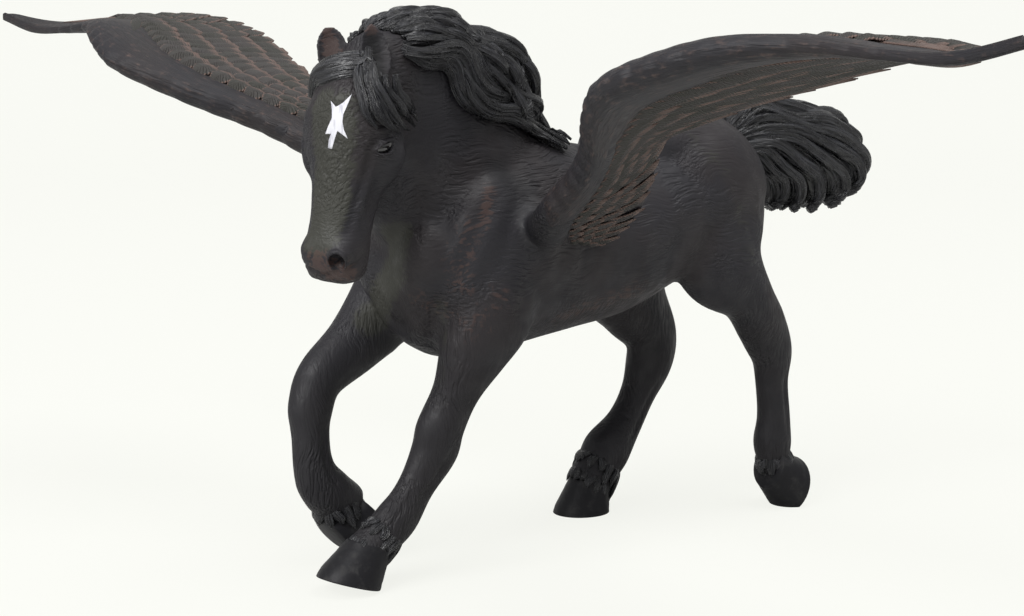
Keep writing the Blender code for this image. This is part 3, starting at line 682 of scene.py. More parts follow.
# %% Fuse the fine skin
def fine_body():
    clay = Bin()
    add_mesh(clay, clay_mesh)
    add_lids(clay, 1)
    add_nostril_ring(clay)
    add_lids(clay, -1)
    for ear in EARS:
        add_ear(clay, *ear[:5])
    return fused(clay.mesh("fine_clay"), FINE_VOXEL, FINE_ROUNDS)


skin_mesh = fine_body()
print("fine skin faces:", len(skin_mesh.polygons))

# %% [markdown]
# ## Sculpting with soft brushes
# All brushes work on arrays of points and normals. A dab pushes along the normal near a point,
# and a stroke does so near a line. Depths are in millimetres, and a positive depth digs.

# %% Brushes
def read_vectors(items, name):
    """One vector of each item of a mesh, as an array."""
    values = np.empty(len(items) * 3)
    items.foreach_get(name, values)
    return values.reshape(-1, 3)


class Sculpture:
    def __init__(self, mesh):
        self.mesh = mesh
        self.points = read_vectors(mesh.vertices, "co")
        self.normals = read_vectors(mesh.vertex_normals, "vector")
        self.paints = {}

    def falloff(self, distance, radius):
        """How much a brush of this radius does at each distance."""
        share = np.clip(1 - distance / radius, 0, 1)
        return share * share * (3 - 2 * share)

    def from_line(self, line):
        """Each point's distance from a line through a few places, and the share along it."""
        places = np.array([tuple(place) for place in line])
        nearest = np.full(len(self.points), 1e9)
        share = np.zeros(len(self.points))
        for k in range(len(places) - 1):
            start, run = places[k], places[k + 1] - places[k]
            t = np.clip((self.points - start) @ run / max(run @ run, 1e-9), 0, 1)
            distance = np.linalg.norm(self.points - start - t[:, None] * run, axis=1)
            closer = distance < nearest
            nearest[closer] = distance[closer]
            share[closer] = ((k + t) / (len(places) - 1))[closer]
        return nearest, share

    def dig(self, depths):
        self.points -= self.normals * depths[:, None]

    def dab(self, centre, radius, depth):
        distance = np.linalg.norm(self.points - np.array(tuple(centre)), axis=1)
        self.dig(self.falloff(distance, radius) * depth)

    def stroke(self, line, radius, depth):
        distance, share = self.from_line(line)
        fade = np.sin(np.pi * np.clip(share * 0.9 + 0.05, 0, 1)) ** 0.5
        self.dig(self.falloff(distance, radius) * depth * fade)

    def paint(self, name, line, radius, strength=1.0):
        """Adds a soft patch of paint along a line to a named mask."""
        mask = self.paints.setdefault(name, np.zeros(len(self.points)))
        distance, _ = self.from_line(line)
        np.maximum(mask, self.falloff(distance, radius) * strength, out=mask)

    def write(self):
        """Gives the points and the masks back to the mesh."""
        self.mesh.vertices.foreach_set("co", self.points.ravel())
        for name, mask in self.paints.items():
            layer = self.mesh.attributes.new(name, "FLOAT", "POINT")
            layer.data.foreach_set("value", mask.astype(np.float32))
        self.mesh.update()


def pixels(*places, lift=0.0):
    return [on_clay(place, lift) for place in places]

# %% [markdown]
# ## The modelling of the face and the muscles
# The face is lean: a sharp crest runs from under the eye to the nostril, the eye lies in a
# hollow, and the jaw is a round plate. Shallow furrows part the muscles of shoulder and thigh.

# %% Sculpt the face
sculpture = Sculpture(skin_mesh)


def carve_lines(lines, mirror):
    """Strokes along places of the photograph, and the same on the other side."""
    for radius, depth, *places in lines:
        line = pixels(*places)
        for stroke in (line, [mirror(point) for point in line]):
            sculpture.stroke(stroke, radius, depth)


# Radius, depth, places in the photograph
FACE_LINES = (
    (1.5, 0.55, (375, 140), (366, 175), (356, 205), (348, 232)),
    (3.2, 0.55, (384, 176), (372, 205), (360, 232)),
    (3, 0.6, (392, 118), (398, 130), (396, 142)),
    (1.6, 0.30, (402, 172), (392, 196), (376, 218), (366, 238)),
    (0.8, 0.55, (322, 276), (336, 272), (352, 266), (364, 256)),
    (1.8, -0.35, (372, 140), (380, 133), (391, 131), (399, 136)),
    (1.4, -0.3, (345, 279), (358, 276)),
)
# How far towards the nose and down the two ends of the tear corner lie from the eye's middle
TEAR_CORNER = ((3.4, 0.6), (1.9, 0.2))


def sculpt_face():
    """Eye hollows with their tear corners, nostrils, cheek crest, jaw, mouth, brow and chin."""
    for side in (1, -1):
        middle, long_way, short_way, _ = eye_axes(side)
        tear = [middle - long_way * out - short_way * down for out, down in TEAR_CORNER]
        sculpture.dab(middle, 1.5, 0.9)
        sculpture.stroke(tear, 0.9, 0.35)
        sculpture.dab(NOSTRIL_PLACE if side > 0 else RIGHT_NOSTRIL_PLACE, 2.1, 2.2)
    carve_lines(FACE_LINES, over_head)


sculpt_face()
print("face sculpted")

# %% Sculpt the muscles
MUSCLE_LINES = (
    # shoulder blade, breast, front of the arm, elbow, throat and neck groove
    (3.2, 0.55, (500, 190), (480, 225), (462, 270), (450, 310)),
    (2.6, 0.55, (398, 290), (402, 320), (404, 346)),
    (2.2, 0.45, (438, 300), (432, 330), (428, 352)),
    (2.4, 0.5, (530, 335), (520, 315), (528, 290)),
    (3, 0.6, (410, 165), (420, 195), (418, 222)),
    (3.6, 0.35, (430, 130), (432, 175), (445, 220)),
    # flank, thigh and hip
    (4, 0.6, (668, 280), (676, 250), (690, 225)),
    (3.4, 0.45, (700, 210), (712, 245), (716, 280), (722, 310)),
    (4, 0.35, (655, 150), (680, 165), (700, 190)),
    # four ribs
    *((2, 0.10, (560 + x, 262), (556 + x, 285), (560 + x, 305)) for x in (0, 22, 44, 66)),
)


# Share of the leg and depth of the swellings of the knee or hock, and of the fetlock
LEG_SWELLINGS = ((0.44, -0.25), (0.74, -0.3))
TENDON_SHARES = (0.52, 0.57, 0.62, 0.67, 0.72)


def sculpt_legs():
    """Tendons behind the cannon bones, knees and fetlocks."""
    for leg in LEGS.values():
        for share, depth in LEG_SWELLINGS:
            centre, _, half_depth = along(leg, share)
            sculpture.dab(Vector(centre) - Vector((0, half_depth, 0)), half_depth * 0.9, depth)
        for across in (1, -1):
            line = []
            for share in TENDON_SHARES:
                centre, half_width, half_depth = along(leg, share)
                line.append(Vector(centre) + Vector((across * half_width, half_depth * 0.25, 0)))
            sculpture.stroke(line, 1.3, 0.45)


carve_lines(MUSCLE_LINES, over_body)
sculpt_legs()
sculpture.stroke(pixels((546, 212), (541, 232), (548, 252)), 4.5, -0.9)
print("muscles sculpted")

# %% [markdown]
# ## Where the paint changes
# The painter dry-brushed rust over the chest, shoulder and muzzle. An olive painted highlight
# lies where the light falls, painted light makes cheek and neck a little paler, and painted
# shade darkens the nostrils, the ear hollows, the wing's root and the breast. Each is kept as a
# soft mask on the skin; the paint breaks the rust and the olive highlight up with grain.

# %% Paint masks
PATCHES = (
    # mask, radius, strength, places in the photograph
    ("rust", 6, 0.34, (468, 232), (462, 258), (462, 285)),
    ("rust", 2.6, 0.62, (490, 190), (484, 225)),
    ("rust", 6, 0.30, (420, 300), (470, 330), (500, 300)),
    ("rust", 4.2, 0.75, (318, 262), (330, 275), (345, 274)),
    ("rust", 5, 0.40, (560, 318), (610, 300), (640, 290)),
    # olive painted highlight where the light falls on brow, face, breast, arm and hip
    ("olive_highlight", 7.5, 1, (325, 105), (325, 150), (325, 200), (318, 240)),
    ("olive_highlight", 6, 0.9, (344, 100), (346, 140), (340, 190), (328, 235)),
    ("olive_highlight", 8, 1, (372, 320), (380, 300), (395, 270), (400, 235)),
    ("olive_highlight", 5, 0.6, (440, 300), (445, 330), (440, 380)),
    ("olive_highlight", 9, 0.55, (690, 135), (735, 190), (750, 250), (740, 300)),
    # painted light that makes cheek and neck paler
    ("painted_light", 7, 0.8, (398, 142), (402, 172), (388, 205)),
    ("painted_light", 8, 0.45, (425, 110), (430, 160), (440, 200)),
    # painted shade in the crease at the wing's root and on the breast
    ("painted_shade", 6.5, 0.45, (500, 172), (524, 190), (541, 222), (536, 240)),
    ("painted_shade", 7, 0.35, (380, 330), (398, 345), (400, 320)),
)
NOSTRIL_DARK = 1.7


def paint_masks():
    for mask, radius, strength, *places in PATCHES:
        sculpture.paint(mask, pixels(*places), radius, strength)
    # painted shade in the nostrils
    for nostril in (NOSTRIL_PLACE, RIGHT_NOSTRIL_PLACE):
        sculpture.paint("hollow_shade", [nostril, nostril], NOSTRIL_DARK)
    for base, lean, facing, length, _, black, brown in EARS:
        up, opening = ear_axes(lean, facing)
        hollow = [base + up * length * share - opening * 0.6 for share in (0.15, 0.45, 0.72)]
        # painted shade in the ear's hollow, with brown paint in it and on the tip
        sculpture.paint("hollow_shade", hollow, 2.3, black)
        sculpture.paint("rust", hollow, 3.0, brown)
        sculpture.paint("rust", [base + up * length * 0.9, base + up * length], 2.2, 0.9)


paint_masks()
sculpture.write()
print("masks:", sorted(sculpture.paints))

# %% [markdown]
# ## A lock of moulded hair
# In the mould, hair is cut as thick clumps with a few deep grooves each, never as single hairs.
# So a lock is a tube whose outline is ridged like a bundle of four or five strands. It swells
# in the middle, thins to a hooked tip, and twists a little as it goes.

# %% Locks
def smooth_path(points, count):
    """Evenly many points on the smooth curve through the given ones."""
    stations = [(tuple(point),) for point in points]
    return [Vector(along(stations, share)[0]) for share in shares(count)]


RIDGE, WOBBLE = 0.17, 0.06


def add_lock(
    bin, points, radius, flat, strands, up,
    tip=0.10, root=0.6, twist=0.5, steps=22, sides=22, phase=0.0,
):
    """A tube along the points with this many pairs of ridges, flattened along up."""
    path = smooth_path(points, steps)
    rings = []
    for k, point in enumerate(path):
        share = k / (steps - 1)
        run = (path[min(k + 1, steps - 1)] - path[max(k - 1, 0)]).normalized()
        across = run.cross(up)
        across = across.normalized() if across.length > 0.15 else run.orthogonal().normalized()
        over = across.cross(run).normalized()
        swell = blend(root, 1.0, smooth_step(0.0, 0.22, share))
        taper = blend(tip, 1.0, (1 - smooth_step(0.62, 1.0, share)) ** 0.8)
        girth = radius * swell * taper
        ring = []
        for side in range(sides):
            angle = math.tau * side / sides
            ridge = 1 + RIDGE * math.cos(strands * 2 * angle + phase + twist * math.tau * share)
            ridge += WOBBLE * math.cos(3 * angle + 2.3 * phase - 3.0 * share)
            wide = across * math.cos(angle) * girth * ridge
            deep = over * math.sin(angle) * girth * flat * ridge
            ring.append(point + wide + deep)
        rings.append(ring)
    bin.loft(rings)

# %% [markdown]
# ## The mane
# It rises in two masses over the crest, blown back as the horse trots. Neighbouring locks wave
# together, which is what makes them read as hair, and each ends in a small hook.

# %% Points of the neck
def neck_point(share, angle, lift=0.0):
    """A point on the neck: share from the chest to the poll, degrees from the crest
    towards the horse's left, and lift off the surface."""
    centre, half_width, half_depth = along(NECK, share)
    above, below = along(NECK, min(share + 0.05, 1))[0], along(NECK, max(share - 0.05, 0))[0]
    run = (Vector(above) - Vector(below)).normalized()
    back = Vector((1, 0, 0)).cross(run).normalized()
    if back.z < 0:
        back.negate()
    side = run.cross(back)
    if side.x < 0:
        side.negate()
    turn = math.radians(angle)
    wide = (half_width + lift) * math.sin(turn)
    deep = (half_depth + lift) * math.cos(turn)
    return Vector(centre) + side * wide + back * deep

# %% Lay the mane
MANE_LAYERS = (
    # count, first and last root, root angle, fall, sweep back, lift, radius
    (13, 0.48, 0.98, -14, 10, 0.42, 4.4, 1.75),
    (14, 0.44, 0.98, -2, 14, 0.42, 4.5, 1.7),
    (14, 0.45, 0.93, 10, 12, 0.40, 3.8, 1.6),
    (14, 0.50, 0.90, 22, 8, 0.38, 2.8, 1.5),
    (12, 0.54, 0.86, 34, 4, 0.36, 1.6, 1.35),
    (13, 0.45, 0.97, -28, -26, 0.36, 2.6, 1.7),
    (12, 0.42, 0.96, -42, -30, 0.26, 1, 1.5),
)
# How full the mane is, from the poll to the chest
CREST = ((0.05,), (0.14,), (0.36,), (0.64,), (0.98,), (1.60,), (1.45,), (0.70,), (0.50,))
MANE_NOTCH, MANE_NOTCH_WIDTH, MANE_NOTCH_DEPTH = 0.52, 0.045, 0.5
CLUMP = 3


def crest_rise(share, lift):
    """How high the mane stands here: two masses, with a notch between them."""
    notch = 1 - MANE_NOTCH_DEPTH * math.exp(-(((share - MANE_NOTCH) / MANE_NOTCH_WIDTH) ** 2))
    return lift * notch * along(CREST, 1 - share)[0]


def mane_path(layer, k, share, root, fall, sweep, lift):
    """One lock's places: back along the crest and down the neck, in waves."""
    length = 1.0 + 0.22 * math.sin(2.1 * k + 1.3 * layer)
    wave = 1.1 * layer + 7.0 * share
    points = []
    for run in shares(11):
        curl = math.sin(math.tau * 1.35 * run + wave)
        hook = smooth_step(0.75, 1.0, run)
        angle = root + fall * run**1.3 * (1.0 + 0.25 * math.sin(1.9 * k))
        angle += 8.0 * curl * run + 9.0 * hook
        back = max(share - sweep * length * (run - 0.22 * hook), 0.05)
        rise = crest_rise(back, lift) * math.sin(math.pi * (0.25 + 0.68 * run))
        points.append(neck_point(back, angle, rise + 1.1 * curl * run))
    return points


def clumped(paths, k, pull=0.75):
    """A path drawn towards the middle one of its clump as it nears its tip."""
    guide = paths[min(k // CLUMP * CLUMP + CLUMP // 2, len(paths) - 1)]
    pulls = [pull * smooth_step(0.35, 1.0, share) for share in shares(len(guide))]
    return [point.lerp(goal, nearing) for point, goal, nearing in zip(paths[k], guide, pulls)]


def lay_mane(bin):
    for layer, (count, first, last, root, fall, sweep, lift, radius) in enumerate(MANE_LAYERS):
        roots = [blend(first, last, share) for share in shares(count)]
        paths = [mane_path(layer, k, roots[k], root, fall, sweep, lift) for k in range(count)]
        for k, share in enumerate(roots):
            angle = root + fall / 2
            normal = (neck_point(share, angle, 5.0) - neck_point(share, angle)).normalized()
            girth = radius * (1.0 + 0.25 * math.sin(3.7 * k + layer))
            add_lock(
                bin, clumped(paths, k), girth, 0.75, 3 + k % 2, normal,
                tip=0.3, root=0.2, phase=1.1 * k, sides=20, steps=28,
            )


# Places in the photograph of the long locks on the neck's left side
SIDE_LOCKS = (
    (
        (404, 48), (412, 54), (425, 61), (441, 62), (450, 70),
        (455, 86), (462, 98), (474, 108), (492, 112), (512, 115),
    ),
    (
        (406, 41), (418, 43), (437, 44), (454, 48), (468, 59),
        (477, 74), (490, 88), (506, 96), (522, 104), (536, 118),
    ),
    (
        (405, 51), (416, 55), (434, 54), (448, 54), (458, 62),
        (464, 76), (472, 90), (486, 99), (502, 104), (518, 114),
    ),
    (
        (430, 60), (444, 58), (453, 62), (461, 74), (467, 88),
        (476, 100), (490, 106), (508, 108), (524, 122), (540, 138),
    ),
    (
        (440, 50), (456, 54), (466, 64), (471, 78), (480, 91),
        (494, 99), (510, 103), (524, 112), (536, 127), (552, 142),
    ),
    (
        (452, 62), (458, 78), (464, 94), (474, 106), (488, 114),
        (504, 116), (518, 124), (532, 136), (550, 145), (566, 153),
    ),
    (
        (470, 96), (482, 104), (496, 106), (510, 110), (521, 120),
        (530, 130), (543, 139), (556, 147), (566, 152),
    ),
    ((494, 104), (508, 108), (520, 116), (530, 126), (540, 134), (550, 141), (560, 148)),
    (
        (478, 66), (487, 80), (499, 91), (513, 97), (526, 106),
        (536, 118), (545, 130), (554, 141),
    ),
)
SIDE_LOCK_RADIUS = 1.0
# How far right and down in the photograph, and how much higher on the neck, each row lies
SIDE_LOCK_ROWS = ((0.0, 0.0, 0.0), (1.5, -3.0, 0.2), (-1.5, 2.5, -0.5))


def lay_side_locks(bin):
    for row, (right, below, higher) in enumerate(SIDE_LOCK_ROWS):
        for k, places in enumerate(SIDE_LOCKS):
            shifted = [(x + right, y + below) for x, y in places[row % 2:]]
            points = pixels(*shifted, lift=1.3 + 0.5 * (k % 3) + higher)
            outward = (points[2] - on_clay(shifted[2])).normalized()
            points[0] -= outward * 1.5
            points[-1] -= outward * 0.6
            girth = SIDE_LOCK_RADIUS * (1.0 + 0.2 * math.sin(2.3 * k + row))
            add_lock(
                bin, points, girth, 0.8, 2 + k % 2, outward,
                tip=0.25, phase=1.3 * k, sides=18, steps=28,
            )


mane_bin = Bin()
lay_mane(mane_bin)
lay_side_locks(mane_bin)
print("mane faces:", len(mane_bin.faces))

# %% [markdown]
# ## The forelock
# A thick band crosses the brow below the ears, and a bunch of locks falls from it beside the
# left eye. It is the first thing one sees, so its locks follow the photograph one by one.

# %% Lay the forelock
BROW_BAND = ((364, 68), (352, 69), (340, 71), (329, 75), (320, 81))
FACE_LOCKS = (
    ((358, 66), (359, 80), (362, 98), (367, 116), (375, 129)),
    ((363, 62), (366, 78), (370, 98), (376, 117), (386, 131)),
    ((366, 76), (371, 86), (377, 100), (385, 117), (394, 131)),
    ((371, 82), (377, 91), (384, 104), (391, 117), (400, 130)),
    ((376, 86), (383, 94), (390, 103), (397, 114), (404, 126)),
    ((383, 86), (389, 94), (395, 103), (401, 111), (405, 120)),
    ((361, 68), (371, 86), (383, 104), (391, 120), (402, 131)),
    ((364, 70), (368, 88), (374, 106), (381, 122), (390, 132)),
)


def lay_forelock(bin):
    _, front, _ = head_frame()
    band = pixels(*BROW_BAND, lift=0.9)
    left_end = [band[0] + Vector((1.0, 0.6, 1.2))]
    right_end = [face_point(-74, 0.14, 0.2)]
    add_lock(
        bin, left_end + band + right_end, 2.2, 0.55, 2, front,
        tip=0.45, root=0.8, twist=0.15, sides=24,
    )
    for k, places in enumerate(FACE_LOCKS):
        points = pixels(*places, lift=1.0 + 0.5 * (k % 3))
        outward = (points[2] - on_clay(places[2])).normalized()
        points[0] += Vector((0, 1.2, 1.2))
        points[-1] += outward * 0.5
        add_lock(bin, points, 0.95, 0.8, 3, outward, tip=0.22, phase=1.7 * k, sides=18)


forelock_bin = Bin()
lay_forelock(forelock_bin)
print("forelock faces:", len(forelock_bin.faces))

# %% [markdown]
# ## The tail
# It is held high, arches back and falls in a dense, short brush. The locks start together at
# the dock and end in hooks at the back and underneath.

# %% Lay the tail
TAIL_LENGTH = 37.8
DOCK = (0.5, BUTTOCK_Y - 6.5, 77.0)
TAIL_LAYERS = (
    # count, reach as a share of the length, arch, drop, half spread, radius
    (8, 0.92, 8, 4, 3.7, 1.9), (9, 0.98, 6.8, 7.2, 5.8, 2), (10, 0.98, 5.4, 9.6, 7, 2.1),
    (10, 0.95, 3.8, 11.2, 7.2, 2.1), (9, 0.88, 2.2, 12, 6.8, 2.1), (8, 0.70, 0.8, 10.8, 6.2, 2),
    (7, 0.54, -0.5, 10.4, 5.2, 1.9), (6, 0.43, -1.6, 9.8, 4.2, 1.8), (5, 0.30, -2.6, 8.6, 3.4, 1.6),
)


def tail_path(layer, k, x, reach, arch, drop):
    """One lock's places: up from the dock, back in an arch, down and a little in again."""
    length = TAIL_LENGTH * reach * (1.0 + 0.05 * math.sin(2.7 * k + layer))
    sag = drop * (1.0 + 0.10 * math.cos(1.9 * k + layer)) + 0.16 * abs(x)
    wave = 0.9 * math.sin(0.8 * k + 0.9 * layer)
    return [Vector(DOCK) + Vector(place) for place in (
        (0.15 * x, 0, 0.3 * arch),
        (0.45 * x, 0.25 * length, 1.15 * arch + 0.5 * wave),
        (0.85 * x, 0.50 * length, arch - 0.05 * sag - wave),
        (1.05 * x + 0.5, 0.74 * length, arch - 0.30 * sag + wave),
        (1.05 * x + 0.9, 0.93 * length, arch - 0.60 * sag - 0.4 * wave),
        (0.95 * x + 1.2, 1.00 * length, arch - 0.88 * sag),
        (0.85 * x + 1.4, 0.98 * length, arch - 1.10 * sag),
        (0.80 * x + 1.4, 0.91 * length, arch - 1.20 * sag),
    )]


def lay_tail(bin):
    for layer, (count, reach, arch, drop, spread, radius) in enumerate(TAIL_LAYERS):
        across = [blend(-spread, spread, share) for share in shares(count)]
        paths = [tail_path(layer, k, x, reach, arch, drop) for k, x in enumerate(across)]
        for k, x in enumerate(across):
            normal = Vector((0.5 * x, 0.2 * TAIL_LENGTH * reach, 5.0)).normalized()
            add_lock(
                bin, clumped(paths, k, 0.6), radius, 0.8, 3 + k % 2, normal,
                tip=0.42, steps=32, phase=1.3 * k + layer,
            )


tail_bin = Bin()
lay_tail(tail_bin)
print("tail faces:", len(tail_bin.faces))

# %% [markdown]
# ## Hooves and the hair above them
# A hoof is a tapered, slanting cup with faint growth rings. The soles that carry the figure are
# cut flat at the ground, as the mould's parting leaves them.

# %% Hooves
HOOF_LENGTH, HOOF_WIDTH, HOOF_HEIGHT = 13.0, 11.5, 7.6
HOOVES = {
    # middle of the sole, direction of the toe and of the sole's inner side
    "left_fore": ((5.4, -60, 1.4), (-0.10, -0.93, 0.30), (0, 0.32, 0.95)),
    "right_fore": ((-12, -43.8, 8.8), (0, 0.62, -0.78), (0, -0.80, -0.60)),
    "left_hind": ((12.4, 51.8, 4.2), (0, -0.30, -0.95), (0, -0.92, 0.38)),
    "right_hind": ((-11, 12.2, -0.7), (0, -1, 0), (0, 0, 1)),
}
# Rise, girth and lean, as shares of the hoof's height, width and length
HOOF_PROFILE = (
    (0, 0.86, 0), (0, 0.985, 0), (0.06, 1, -0.01), (0.25, 0.97, -0.03),
    (0.7, 0.82, -0.12), (1, 0.74, -0.19), (1.06, 0.70, -0.2), (1.1, 0.50, -0.2),
)


def add_hoof(bin, sole, toe, inside):
    toe = Vector(toe).normalized()
    inside = Vector(inside)
    inside = (inside - toe * inside.dot(toe)).normalized()
    across = toe.cross(inside)
    rings = []
    for step in shares(29):
        rise, girth, lean = along(HOOF_PROFILE, step)
        girth *= 1 + 0.006 * math.sin(26 * rise)
        centre = Vector(sole) + inside * HOOF_HEIGHT * rise + toe * HOOF_LENGTH * lean
        long_way = toe * HOOF_LENGTH / 2 * girth
        rings.append(oval(centre, across * HOOF_WIDTH / 2 * girth, long_way, -long_way * 0.9, 40))
    bin.loft(rings)


hoof_bin = Bin()
for hoof_shape in HOOVES.values():
    add_hoof(hoof_bin, *hoof_shape)


FETLOCK_LENGTH = 8.6
# Share of the leg where the roots lie, number of locks, share of the length
FETLOCK_LAYERS = ((0.90, 17, 1.0), (0.82, 15, 0.95))


def add_fetlock_hair(bin, leg, hoof_shape):
    """Two layers of flat locks that lie from the pastern down over the hoof."""
    sole, toe, inside = (Vector(value) for value in hoof_shape)
    toe, inside = toe.normalized(), inside.normalized()
    crown = sole + inside * HOOF_HEIGHT * 0.62 - toe * HOOF_LENGTH * 0.10
    side = Vector((1, 0, 0))
    for layer, (share, count, reach) in enumerate(FETLOCK_LAYERS):
        centre, half_width, half_depth = along(leg, share)
        centre = Vector(centre)
        run = (crown - centre).normalized()
        back = side.cross(run).normalized()
        for k, place in enumerate(shares(count)):
            angle = math.radians(blend(-172.0, 172.0, place))
            outward = back * math.cos(angle) * half_depth + side * math.sin(angle) * half_width
            long = FETLOCK_LENGTH * reach * (0.72 + 0.28 * math.cos(angle))
            long *= 1.0 + 0.14 * math.sin(2.9 * k + layer)
            sway = run.cross(outward).normalized() * 0.35 * math.sin(1.7 * k)
            points = (
                centre + outward * 0.72,
                centre + outward * 0.93 + run * long * 0.35 + sway,
                centre + outward * 1.02 + run * long * 0.70 - sway,
                centre + outward * 1.02 + run * long,
            )
            add_lock(
                bin, points, 0.9, 0.42, 3, outward.normalized(),
                tip=0.2, steps=14, sides=16, phase=k,
            )


fetlock_bin = Bin()
for name, leg in LEGS.items():
    add_fetlock_hair(fetlock_bin, leg, HOOVES[name])
print("hoof faces:", len(hoof_bin.faces), "fetlock hair faces:", len(fetlock_bin.faces))

# %% [markdown]
# ## A feather
# Each feather is a thin closed vane. It is cambered, it has a raised quill down its middle, and
# its edge waves where barbs have parted. A share at each point tells the paint how near the tip is.

# %% Feathers
FEATHER_THICKNESS, QUILL = 0.6, 0.20
FEATHER_TILT, FEATHER_SUNK, FEATHER_ROOM = 0.28, 1.1, 0.22
# Share of the chord, half thickness as a share of the arm's
WING_PROFILE = (
    (0, 0), (0.02, 0.62), (0.07, 0.95), (0.15, 1), (0.26, 0.80), (0.40, 0.50),
    (0.6, 0.32), (0.85, 0.26), (1, 0.12), (1.1, 0.10),
)
# Half width of a vane from its root to its rounded tip, as a share of the widest
VANE = ((0.12,), (0.40,), (0.72,), (0.92,), (1.0,), (1.0,), (0.95,), (0.78,), (0.10,))
SCALLOPS, SCALLOP_DEPTH = 30, 0.42
ROOT_BURIED = 0.42


def profile_height(place):
    """The wing's half thickness at this share of the chord, as a share of the arm's."""
    for (low, low_high), (high, high_high) in zip(WING_PROFILE, WING_PROFILE[1:]):
        if place <= high:
            return blend(low_high, high_high, smooth_step(low, high, place))
    return WING_PROFILE[-1][1]


def wing_surface(wing, share, place, side):
    """A point on the wing's upper or lower face, and the direction out of it. The leading
    edge is scalloped by the ends of its coverts, and the root is buried in the shoulder."""
    leading, chord, up = wing_frame(wing, share)
    tooth = (share * SCALLOPS) % 1.0
    depth = SCALLOP_DEPTH * math.sin(math.pi * tooth**1.6)
    depth *= smooth_step(0.1, 0.2, share) * smooth_step(0.88, 0.8, share)
    leading = leading - chord.normalized() * depth * smooth_step(0.22, 0.0, place)
    buried = ROOT_BURIED * smooth_step(0.15, 0.03, share)
    leading, chord = leading + chord * buried, chord * (1 - buried)
    girth = wing_edges(wing, share)[2] * blend(0.6, 1.0, smooth_step(0.02, 0.2, share))
    high = profile_height(place)
    rise = max(WING_ARM_RADIUS * girth * high, WING_SHEET / 2 * min(1, high * 3))
    return leading + chord * place + up * side * rise, up * side


def add_vane(bin, wing, side, start, end, width, lift, bow=0.0, phase=0.0, rows=16, sides=16):
    """A feather that lies on a face of the wing, from one span and chord share to another.
    It lies flatter towards the wing's tip, and its root is sunk in the wing."""
    lengthwise = shares(rows + 1)
    places = []
    for share in lengthwise:
        span, chord_share = blend(start, end, share)
        places.append(wing_surface(wing, span + bow * math.sin(math.pi * share), chord_share, side))
    rings = []
    for row, (share, (point, out)) in enumerate(zip(lengthwise, places)):
        span = blend(start, end, share)[0]
        run = places[min(row + 1, rows)][0] - places[max(row - 1, 0)][0]
        over = (out - run * out.dot(run) / run.length_squared).normalized()
        across = run.cross(over).normalized()
        room = wing_frame(wing, span)[1].length * FEATHER_ROOM
        half = min(width / 2 * along(VANE, share)[0], room)
        half *= 1 + 0.05 * math.sin(31 * share + phase) * smooth_step(0.35, 0.8, share)
        thick = FEATHER_THICKNESS / 2 * (0.8 + 0.4 * math.sin(math.pi * share))
        thick *= 1 - 0.7 * share**6
        flat = 1 - 0.8 * smooth_step(0.66, 0.92, span)
        rise_out = blend(-FEATHER_SUNK, lift * flat, smooth_step(0.0, 0.45, share))
        centre = point + over * (rise_out + FEATHER_TILT * share * flat)
        ring = []
        for k in range(sides):
            angle = math.tau * k / sides
            u = math.cos(angle)
            edge = abs(math.sin(angle)) ** 0.7 * math.copysign(1, math.sin(angle))
            rise = thick * edge + 0.05 * width * (1 - u * u) * (1 - share**4)
            if edge > 0:
                rise += QUILL * math.exp(-((u / 0.16) ** 2)) * (1 - 0.6 * share)
            ring.append(centre + across * u * half + over * rise)
        rings.append(ring)
    bin.loft(rings, [0.5 + 0.5 * math.cos(math.tau * k / sides) for k in range(sides + 1)])

# %% [markdown]
# ## The wings
# On both faces rows of feathers lie like tiles, and eight long ones fan out to the tip. The
# smooth band behind the leading edge stays bare: there the figure shows only engraved down.

# %% The wing's core
CORE_RINGS = 320


def add_wing_sheet(bin, wing):
    """A rounded arm along the leading edge that thins to a sheet behind."""
    places = [place**1.3 for place in shares(33)]
    rings = []
    for share in shares(CORE_RINGS):
        over = [wing_surface(wing, share, place, 1)[0] for place in places]
        under = [wing_surface(wing, share, place, -1)[0] for place in places]
        rings.append(over + under[:0:-1])
    bin.loft(rings)

# %% Feather rows
FEATHER_ROWS = (
    # side, count, span shares, chord share at root and tip, run along the span, width, lift
    (1, 32, 0.07, 0.85, 0.80, 1.015, 0.030, 6.2, 0),
    (1, 31, 0.09, 0.83, 0.66, 0.88, 0.030, 6.2, 0.15),
    (1, 30, 0.11, 0.81, 0.52, 0.74, 0.028, 6, 0.3),
    (1, 29, 0.12, 0.79, 0.38, 0.60, 0.026, 5.6, 0.45),
    (1, 28, 0.13, 0.76, 0.25, 0.46, 0.024, 5, 0.55),
    (-1, 36, 0.05, 0.78, 0.56, 1.02, 0.13, 3.4, 0),
    (-1, 36, 0.06, 0.76, 0.46, 0.84, 0.13, 3.2, 0.12),
    (-1, 36, 0.07, 0.76, 0.36, 0.66, 0.12, 3, 0.22),
    (-1, 38, 0.08, 0.80, 0.22, 0.48, 0.12, 2.8, 0.26),
)


def add_feather_rows(bin, wing):
    for row, (side, count, first, last, root, tip, run, width, lift) in enumerate(FEATHER_ROWS):
        for k, place in enumerate(shares(count)):
            share = blend(first, last, place)
            reach = run * min(1.0, 0.15 + 2.2 * (share - first))
            reach *= 1.0 + 0.15 * math.sin(1.7 * k + row)
            end = (share + reach, tip + 0.012 * math.sin(2.3 * k + row))
            add_vane(
                bin, wing, side, (share, root), end, width, lift,
                bow=-0.12 * reach, phase=1.9 * k + row,
            )

# %% Tip feathers
TIP_FEATHERS = 8
WRIST = 0.54


def add_tip_feathers(bin, wing):
    """The long outer feathers that run from the wrist to the wing's tip."""
    for side, far in ((1, 0.90), (-1, 0.93)):
        for k, spread in enumerate(shares(TIP_FEATHERS)):
            start = (WRIST, blend(0.12, 0.70, spread))
            end = (blend(far, 0.78, spread), blend(0.55, 0.99, spread))
            add_vane(bin, wing, side, start, end, 3.0, 0.03 * k, phase=2.1 * k, rows=44)


